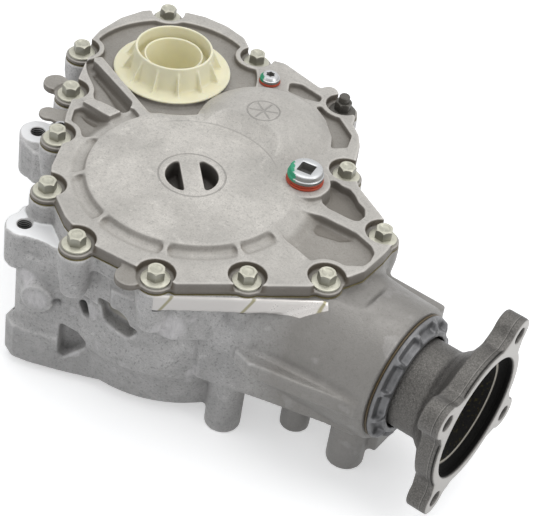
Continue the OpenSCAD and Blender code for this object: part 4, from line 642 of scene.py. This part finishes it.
class CastingLooks(PropertyGroup):
    """Colours and sizes of the castings and their trim."""

    cover_colour: FloatVectorProperty(
        name="Cover", description="Colour of the cover's cast aluminium", subtype="COLOR",
        default=(0.56, 0.535, 0.495), min=0, max=1)
    housing_colour: FloatVectorProperty(
        name="Housing", description="Colour of the housing's cast aluminium", subtype="COLOR",
        default=(0.53, 0.52, 0.51), min=0, max=1)
    metal_share: FloatProperty(
        name="Metal share", description="How much of the castings mirrors like metal",
        default=0.15, min=0, max=1)
    iron_colour: FloatVectorProperty(
        name="Iron", description="Colour of the companion flange's cast iron", subtype="COLOR",
        default=(0.12, 0.115, 0.108), min=0, max=1)
    cap_colour: FloatVectorProperty(
        name="Cap", description="Colour of the shipping cap", subtype="COLOR",
        default=(0.86, 0.82, 0.60), min=0, max=1)
    plug_colour: FloatVectorProperty(
        name="Plugs", description="Colour of the zinc on the plugs", subtype="COLOR",
        default=(0.55, 0.56, 0.57), min=0, max=1)
    bolt_colour: FloatVectorProperty(
        name="Bolts", description="Colour of the cover bolts' plating", subtype="COLOR",
        default=(0.50, 0.49, 0.41), min=0, max=1)
    cover_fillet: FloatProperty(
        name="Cover fillet", description="Radius of the cover's hollow corners",
        default=0.9 * MM, min=0, max=3 * MM, unit="LENGTH")
    housing_fillet: FloatProperty(
        name="Housing fillet", description="Radius of the housing's hollow corners",
        default=1.5 * MM, min=0, max=6 * MM, unit="LENGTH")
    bolt_sides: IntProperty(
        name="Bolt roundness", description="Sides of the bolts' round faces",
        default=40, min=16, max=96)


class StageLooks(PropertyGroup):
    """Camera, floor and lights."""

    camera_place: FloatVectorProperty(
        name="Camera", description="Where the camera stands", subtype="TRANSLATION",
        default=(0.5287, -0.7591, 0.7694), unit="LENGTH")
    lens: FloatProperty(
        name="Lens", description="Focal length in millimetres on a 36 mm sensor",
        default=113.1, min=20, max=300)
    floor_colour: FloatVectorProperty(
        name="Floor", description="Colour of the floor", subtype="COLOR",
        default=(0.86, 0.86, 0.86), min=0, max=1)
    sky: FloatProperty(
        name="Sky", description="Strength of the even light from all sides",
        default=0.55, min=0, max=3)
    top_light: FloatProperty(
        name="Top light", description="Strength of the large lamp above, in watts",
        default=8.5, min=0, max=100)
    side_light: FloatProperty(
        name="Side light", description="Strength of the lamp on the right, in watts",
        default=5.0, min=0, max=100)


# One operator for each piece or group of like pieces

class PTO_OT_cover(Operator):
    """Builds the cover as a casting with soft corners."""

    bl_idname = "pto.cover"
    bl_label = "Cover"

    def execute(self, context):
        looks = context.scene.casting_looks
        piece = copied("cover", "cover_casting")
        # The disc stays flat up to a crease, where the dome starts to rise
        bpy.ops.mesh.primitive_cone_add(
            vertices=128, radius1=55 * MM, radius2=69 * MM, depth=10 * MM,
            location=TRANSFER + Vector((0, 0, DISC_TOP + 5.03 * MM)))
        crease = context.active_object
        settle(crease)
        cut_away(piece, crease)
        cast_skin(piece, 0.7 * MM, looks.cover_fillet)
        dress(piece, "case", "cover_aluminium", cover_finish(looks), "cover")
        return {"FINISHED"}


class PTO_OT_housing(Operator):
    """Builds the main housing as a casting with wide fillets."""

    bl_idname = "pto.housing"
    bl_label = "Main housing"

    def execute(self, context):
        looks = context.scene.casting_looks
        piece = copied("main_housing", "housing_casting")
        cast_skin(piece, 0.9 * MM, looks.housing_fillet)
        dress(piece, "case", "cast_aluminium", housing_finish(looks), "main_housing")
        return {"FINISHED"}


class PTO_OT_flange(Operator):
    """Builds the companion flange in cast iron."""

    bl_idname = "pto.flange"
    bl_label = "Companion flange"

    def execute(self, context):
        looks = context.scene.casting_looks
        piece = copied("companion_flange", "flange_casting")
        cast_skin(piece, 0.9 * MM, 1.6 * MM)
        dress(piece, "pinion", "cast_iron", iron_finish(looks), "companion_flange")
        return {"FINISHED"}


class PTO_OT_collar(Operator):
    """Builds the ribbed collar at the end of the nose."""

    bl_idname = "pto.collar"
    bl_label = "Bearing collar"

    def execute(self, context):
        piece = copied("bearing_collar", "ribbed_collar")
        cast_skin(piece, 0.6 * MM, 0.5 * MM)
        material = turned_finish("collar metal", (0.19, 0.19, 0.195), 0.42, 1.2, 0.5, 0.6, 0.08)
        dress(piece, "case", "collar_metal", material, "bearing_collar")
        return {"FINISHED"}


class PTO_OT_cap(Operator):
    """Builds the moulded shipping cap."""

    bl_idname = "pto.cap"
    bl_label = "Shipping cap"

    def execute(self, context):
        piece = copied("shipping_cap", "moulded_cap")
        cast_skin(piece, 0.55 * MM, 0.5 * MM)
        dress(piece, "cap", "cream_nylon", nylon_finish(context.scene.casting_looks),
              "shipping_cap")
        return {"FINISHED"}


class PTO_OT_bolts(Operator):
    """Builds one flange bolt and copies it to each bolt's place, each turned its own way."""

    bl_idname = "pto.bolts"
    bl_label = "Cover bolts"

    # How far the heads are turned, in degrees, and the hexagon's corners, foot and top
    first_turn, next_turn, stud_turn = 17, 37, 12
    hexagon_r = 5.77 * MM
    hexagon_low, hexagon_high = 1.4 * MM, 8.7 * MM

    def execute(self, context):
        looks = context.scene.casting_looks
        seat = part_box("cover_bolts")[1].z - BOLT_HIGH
        bolt = self.bolt(looks.bolt_sides)
        # The last value paints the bolts' upright sides darker as painted shade
        plating = turned_finish("bolt plating", looks.bolt_colour, 0.42, 1.0, 0.55, 0.5, 0.05, 0.7)
        for number, spot in enumerate(BOLT_SPOTS):
            place = TRANSFER + Vector((spot[0] * MM, spot[1] * MM, seat))
            turn = radians(self.first_turn + self.next_turn * number)
            twin = copy_at(bolt, f"cover_bolt_{number + 1}", place, turn)
            dress(twin, "case", "zinc_steel", plating, "cover_bolts")
            bpy.context.view_layer.update()
        place = TRANSFER + Vector((STUD_SPOT[0] * MM, STUD_SPOT[1] * MM, seat))
        stud = copy_at(bolt, "stud_bolt", place, radians(self.stud_turn))
        dark = turned_finish("dark phosphate", (0.10, 0.095, 0.085), 0.5, 1.0, 0.7, 0.5, 0.05)
        tip = turned("stud_tip", [(0, 8.0 * MM), (3.6 * MM, 8.0 * MM), (3.6 * MM, 12.2 * MM),
                                  (3.0 * MM, 13.0 * MM), (0, 13.0 * MM)], 24)
        tip.data.transform(Matrix.Translation(place))
        alone(stud)
        tip.select_set(True)
        bpy.ops.object.join()
        dress(stud, "case", "dark_steel", dark, "cover_stud_bolt")
        bpy.data.objects.remove(bolt)
        return {"FINISHED"}

    def bolt(self, sides):
        """A bolt whose seat is at the origin: washer face, hexagon and a dished top."""
        washer = turned("washer_face", [
            (0, 0.05 * MM), (8.8 * MM, 0.05 * MM), (9.0 * MM, 0.5 * MM), (8.7 * MM, 1.3 * MM),
            (6.4 * MM, 2.0 * MM), (0, 2.2 * MM)], sides)
        bpy.ops.mesh.primitive_cylinder_add(
            vertices=6, radius=self.hexagon_r, depth=self.hexagon_high - self.hexagon_low,
            location=(0, 0, (self.hexagon_low + self.hexagon_high) / 2))
        head = bpy.context.active_object
        settle(head)
        crown = turned("crown", [(0, 9 * MM), (9 * MM, 9 * MM), (9 * MM, 6.3 * MM),
                                 (5.75 * MM, 7.6 * MM), (4.9 * MM, 8.5 * MM), (3.6 * MM, 8.5 * MM),
                                 (3.1 * MM, 8.0 * MM), (0, 7.9 * MM)], sides)
        cut_away(head, crown)
        softened(head, 0.28 * MM)
        alone(washer)
        bpy.ops.object.shade_smooth_by_angle(angle=radians(40))
        head.select_set(True)
        bpy.ops.object.join()
        return washer


class PTO_OT_plugs(Operator):
    """Builds the fill plug and the level plug with their sealing washers."""

    bl_idname = "pto.plugs"
    bl_label = "Plugs and washers"

    def execute(self, context):
        looks = context.scene.casting_looks
        red = rubber_finish("red washer", (0.33, 0.04, 0.012), 0.45)
        low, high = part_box("fill_plug")
        middle = (low + high) / 2
        top = high.z
        body = turned("fill_plug_body", [
            (0, -5.8 * MM), (11.2 * MM, -5.8 * MM), (11.5 * MM, -5.5 * MM), (11.5 * MM, -3.8 * MM),
            (11.1 * MM, -3.4 * MM), (10.8 * MM, -3.3 * MM), (10.5 * MM, -0.9 * MM),
            (10.1 * MM, -0.2 * MM), (9.6 * MM, 0), (0, 0)], 72)
        bpy.ops.mesh.primitive_cube_add(size=1, location=(0, 0, 0), rotation=(0, 0, radians(10)))
        socket = bpy.context.active_object
        socket.scale = (9.6 * MM, 9.6 * MM, 11 * MM)
        settle(socket)
        cut_away(body, socket)
        softened(body, 0.3 * MM)
        body.data.transform(Matrix.Translation((middle.x, middle.y, top)))
        dress(body, "case", "bright_zinc", plug_finish(
            looks, middle, top, 11.5 * MM, 7.2 * MM, "fill plug zinc"),
              "fill_plug")
        self.washer("fill_washer", "fill_plug_washer", 9.1, (11.9, 11.4), red)
        low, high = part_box("level_plug")
        middle = (low + high) / 2
        body = turned("level_plug_body", [
            (0, -4.3 * MM), (6.6 * MM, -4.3 * MM), (6.8 * MM, -4.0 * MM), (6.7 * MM, -2.4 * MM),
            (6.1 * MM, -2.2 * MM), (5.5 * MM, -0.7 * MM), (4.6 * MM, 0), (0, 0)], 56)
        bpy.ops.mesh.primitive_cylinder_add(
            vertices=12, radius=3.3 * MM, depth=6 * MM, location=(0, 0, 0))
        star = bpy.context.active_object
        alone(star)
        angles = [atan2(point.co.y, point.co.x) for point in star.data.vertices]
        bpy.ops.object.mode_set(mode="EDIT")
        bpy.ops.mesh.select_all(action="DESELECT")
        bpy.ops.object.mode_set(mode="OBJECT")
        for place, number in enumerate(sorted(range(len(angles)), key=angles.__getitem__)):
            star.data.vertices[number].select = place // 2 % 2 == 0
        bpy.ops.object.mode_set(mode="EDIT")
        bpy.ops.transform.resize(value=(0.72, 0.72, 1), center_override=(0, 0, 0))
        bpy.ops.object.mode_set(mode="OBJECT")
        cut_away(body, star)
        softened(body, 0.2 * MM)
        body.data.transform(Matrix.Translation((middle.x, middle.y, high.z)))
        dress(body, "case", "bright_zinc", plug_finish(
            looks, middle, high.z, 6.8 * MM, 3.8 * MM, "level plug zinc"),
              "level_plug")
        self.washer("level_washer", "level_plug_washer", 5.1, (7.2,), red)
        return {"FINISHED"}

    def washer(self, name, node, inner, outers, material):
        """A stack of sealing washers, each rounded at its rim."""
        low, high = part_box(node)
        middle = (low + high) / 2
        thick = (high.z - low.z) / len(outers)
        profile = [(inner * MM, 0)]
        for count, outer in enumerate(outers):
            foot = count * thick
            rim = outer * MM
            profile += [(rim - 0.5 * MM, foot), (rim, foot + 0.3 * thick),
                        (rim, foot + 0.7 * thick), (rim - 0.5 * MM, foot + thick)]
        profile += [(inner * MM, high.z - low.z), (inner * MM, 0)]
        piece = turned(name, profile, 64)
        piece.data.transform(Matrix.Translation((middle.x, middle.y, low.z)))
        alone(piece)
        bpy.ops.object.shade_smooth_by_angle(angle=radians(50))
        dress(piece, "case", "red_washer", material, node)


class PTO_OT_inner_parts(Operator):
    """Gives the gears, shafts, bearings, seals and other carried-over pieces their materials."""

    bl_idname = "pto.inner_parts"
    bl_label = "Inner parts"

    def execute(self, context):
        finishes = {
            "gear_steel": turned_finish("gear steel", (0.42, 0.42, 0.43), 0.3, 0.8),
            "shaft_steel": turned_finish("shaft steel", (0.40, 0.40, 0.41), 0.28, 0.6),
            "bearing_steel": turned_finish("bearing steel", (0.56, 0.57, 0.59), 0.2, 0.6),
            "dark_steel": turned_finish("black steel", (0.08, 0.08, 0.078), 0.45, 0.9),
            "nut_steel": turned_finish("nut zinc", (0.34, 0.32, 0.24), 0.38, 0.9),
            "seal_rubber": rubber_finish("seal rubber", (0.018, 0.018, 0.02)),
            "gold_rubber": rubber_finish("brown rubber", (0.075, 0.05, 0.018), 0.4),
            "sealant": rubber_finish("sealant film", (0.20, 0.17, 0.08), 0.5),
            "magnet": rubber_finish("ferrite", (0.035, 0.034, 0.036), 0.5),
        }
        for row in frame["record"]["subparts"]:
            node = frame["nodes"][row["node"]]
            finish = finishes.get(row["material_slot"])
            if finish and not node.hide_render:
                node.data.materials.clear()
                node.data.materials.append(finish)
        return {"FINISHED"}


class PTO_OT_stage(Operator):
    """Sets the floor, the lights, the world and the camera."""

    bl_idname = "pto.stage"
    bl_label = "Stage"

    # How much the floor shines of itself, and how much of its colour lights the unit
    glow = 0.45
    bounce = 0.5

    def execute(self, context):
        stage = context.scene.stage_looks
        bpy.ops.mesh.primitive_plane_add(size=8, location=(0.1, 0, CAD_LOW.z - 0.2 * MM))
        floor = context.active_object
        floor.name = "studio_floor"
        floor.data.materials.append(self.floor_material(stage.floor_colour))
        self.lamp("top", (0.0, 0.25, 1.5), (0.12, -0.06, 0.08), 1.4, stage.top_light)
        self.lamp("right", (1.3, 0.1, 0.8), (0.15, -0.08, 0.08), 0.8, stage.side_light)
        self.lamp("left", (-0.9, -1.0, 0.7), (0.1, -0.1, 0.06), 0.9, stage.side_light * 0.5)
        world = bpy.data.worlds.new("soft_studio")
        context.scene.world = world
        sky = Wiring(world)
        dim, white = (sky.add("ShaderNodeBackground", {}, {"Color": colour, "Strength": level})
                      for colour, level in (((0.95, 0.97, 1, 1), stage.sky), ((1, 1, 1, 1), 1)))
        sky.seen_white(dim, white, "ShaderNodeOutputWorld")
        camera = bpy.data.objects.new("camera", bpy.data.cameras.new("camera"))
        context.scene.collection.objects.link(camera)
        camera.data.lens = stage.lens
        camera.data.sensor_width = 36
        camera.data.clip_end = 20
        right = VIEW_RIGHT.normalized()
        up = (VIEW_UP - right * VIEW_UP.dot(right)).normalized()
        turn = Matrix((right, up, right.cross(up))).transposed().to_4x4()
        camera.matrix_world = Matrix.Translation(stage.camera_place) @ turn
        context.scene.camera = camera
        context.scene.view_settings.view_transform = "Standard"
        return {"FINISHED"}

    def floor_material(self, colour):
        """A pale floor that shows white to the camera and keeps the shadow."""
        floor = Finish("pale floor")
        plain, dim = (floor.add("ShaderNodeBsdfDiffuse", {}, {"Color": (*tone, 1)})
                      for tone in (colour, [c * self.bounce for c in colour]))
        glow = floor.add("ShaderNodeEmission", {}, {"Strength": self.glow})
        white = floor.add("ShaderNodeAddShader", {}, {0: plain, 1: glow})
        floor.seen_white(dim, white, "ShaderNodeOutputMaterial")
        return floor.material

    def lamp(self, name, place, aim, size, watts):
        """A large soft lamp at place that points at aim."""
        bpy.ops.object.light_add(type="AREA", location=place)
        lamp = bpy.context.active_object
        lamp.name = f"{name}_lamp"
        lamp.data.energy = watts
        lamp.data.size = size
        lamp.rotation_euler = (Vector(aim) - Vector(place)).to_track_quat("-Z", "Y").to_euler()


class PTO_PT_panel(Panel):
    """Lists the pieces of the power take-off unit."""

    bl_idname = "PTO_PT_panel"
    bl_label = "Transfer unit"
    bl_space_type = "VIEW_3D"
    bl_region_type = "UI"
    bl_category = "Transfer unit"

    def draw(self, context):
        for group in (context.scene.casting_looks, context.scene.stage_looks):
            for name in group.__annotations__:
                self.layout.prop(group, name)
        for operator in BUILDERS:
            self.layout.operator(operator.bl_idname)


BUILDERS = (PTO_OT_cover, PTO_OT_housing, PTO_OT_flange, PTO_OT_collar, PTO_OT_cap,
            PTO_OT_bolts, PTO_OT_plugs, PTO_OT_inner_parts, PTO_OT_stage)
CLASSES = (CastingLooks, StageLooks, *BUILDERS, PTO_PT_panel)


def register():
    for item in CLASSES:
        bpy.utils.register_class(item)
    bpy.types.Scene.casting_looks = PointerProperty(type=CastingLooks)
    bpy.types.Scene.stage_looks = PointerProperty(type=StageLooks)


def unregister():
    del bpy.types.Scene.stage_looks
    del bpy.types.Scene.casting_looks
    for item in reversed(CLASSES):
        bpy.utils.unregister_class(item)


def main():
    register()
    for operator in BUILDERS:
        group, name = operator.bl_idname.split(".")
        getattr(getattr(bpy.ops, group), name)()


if __name__ == "__main__":
    main()
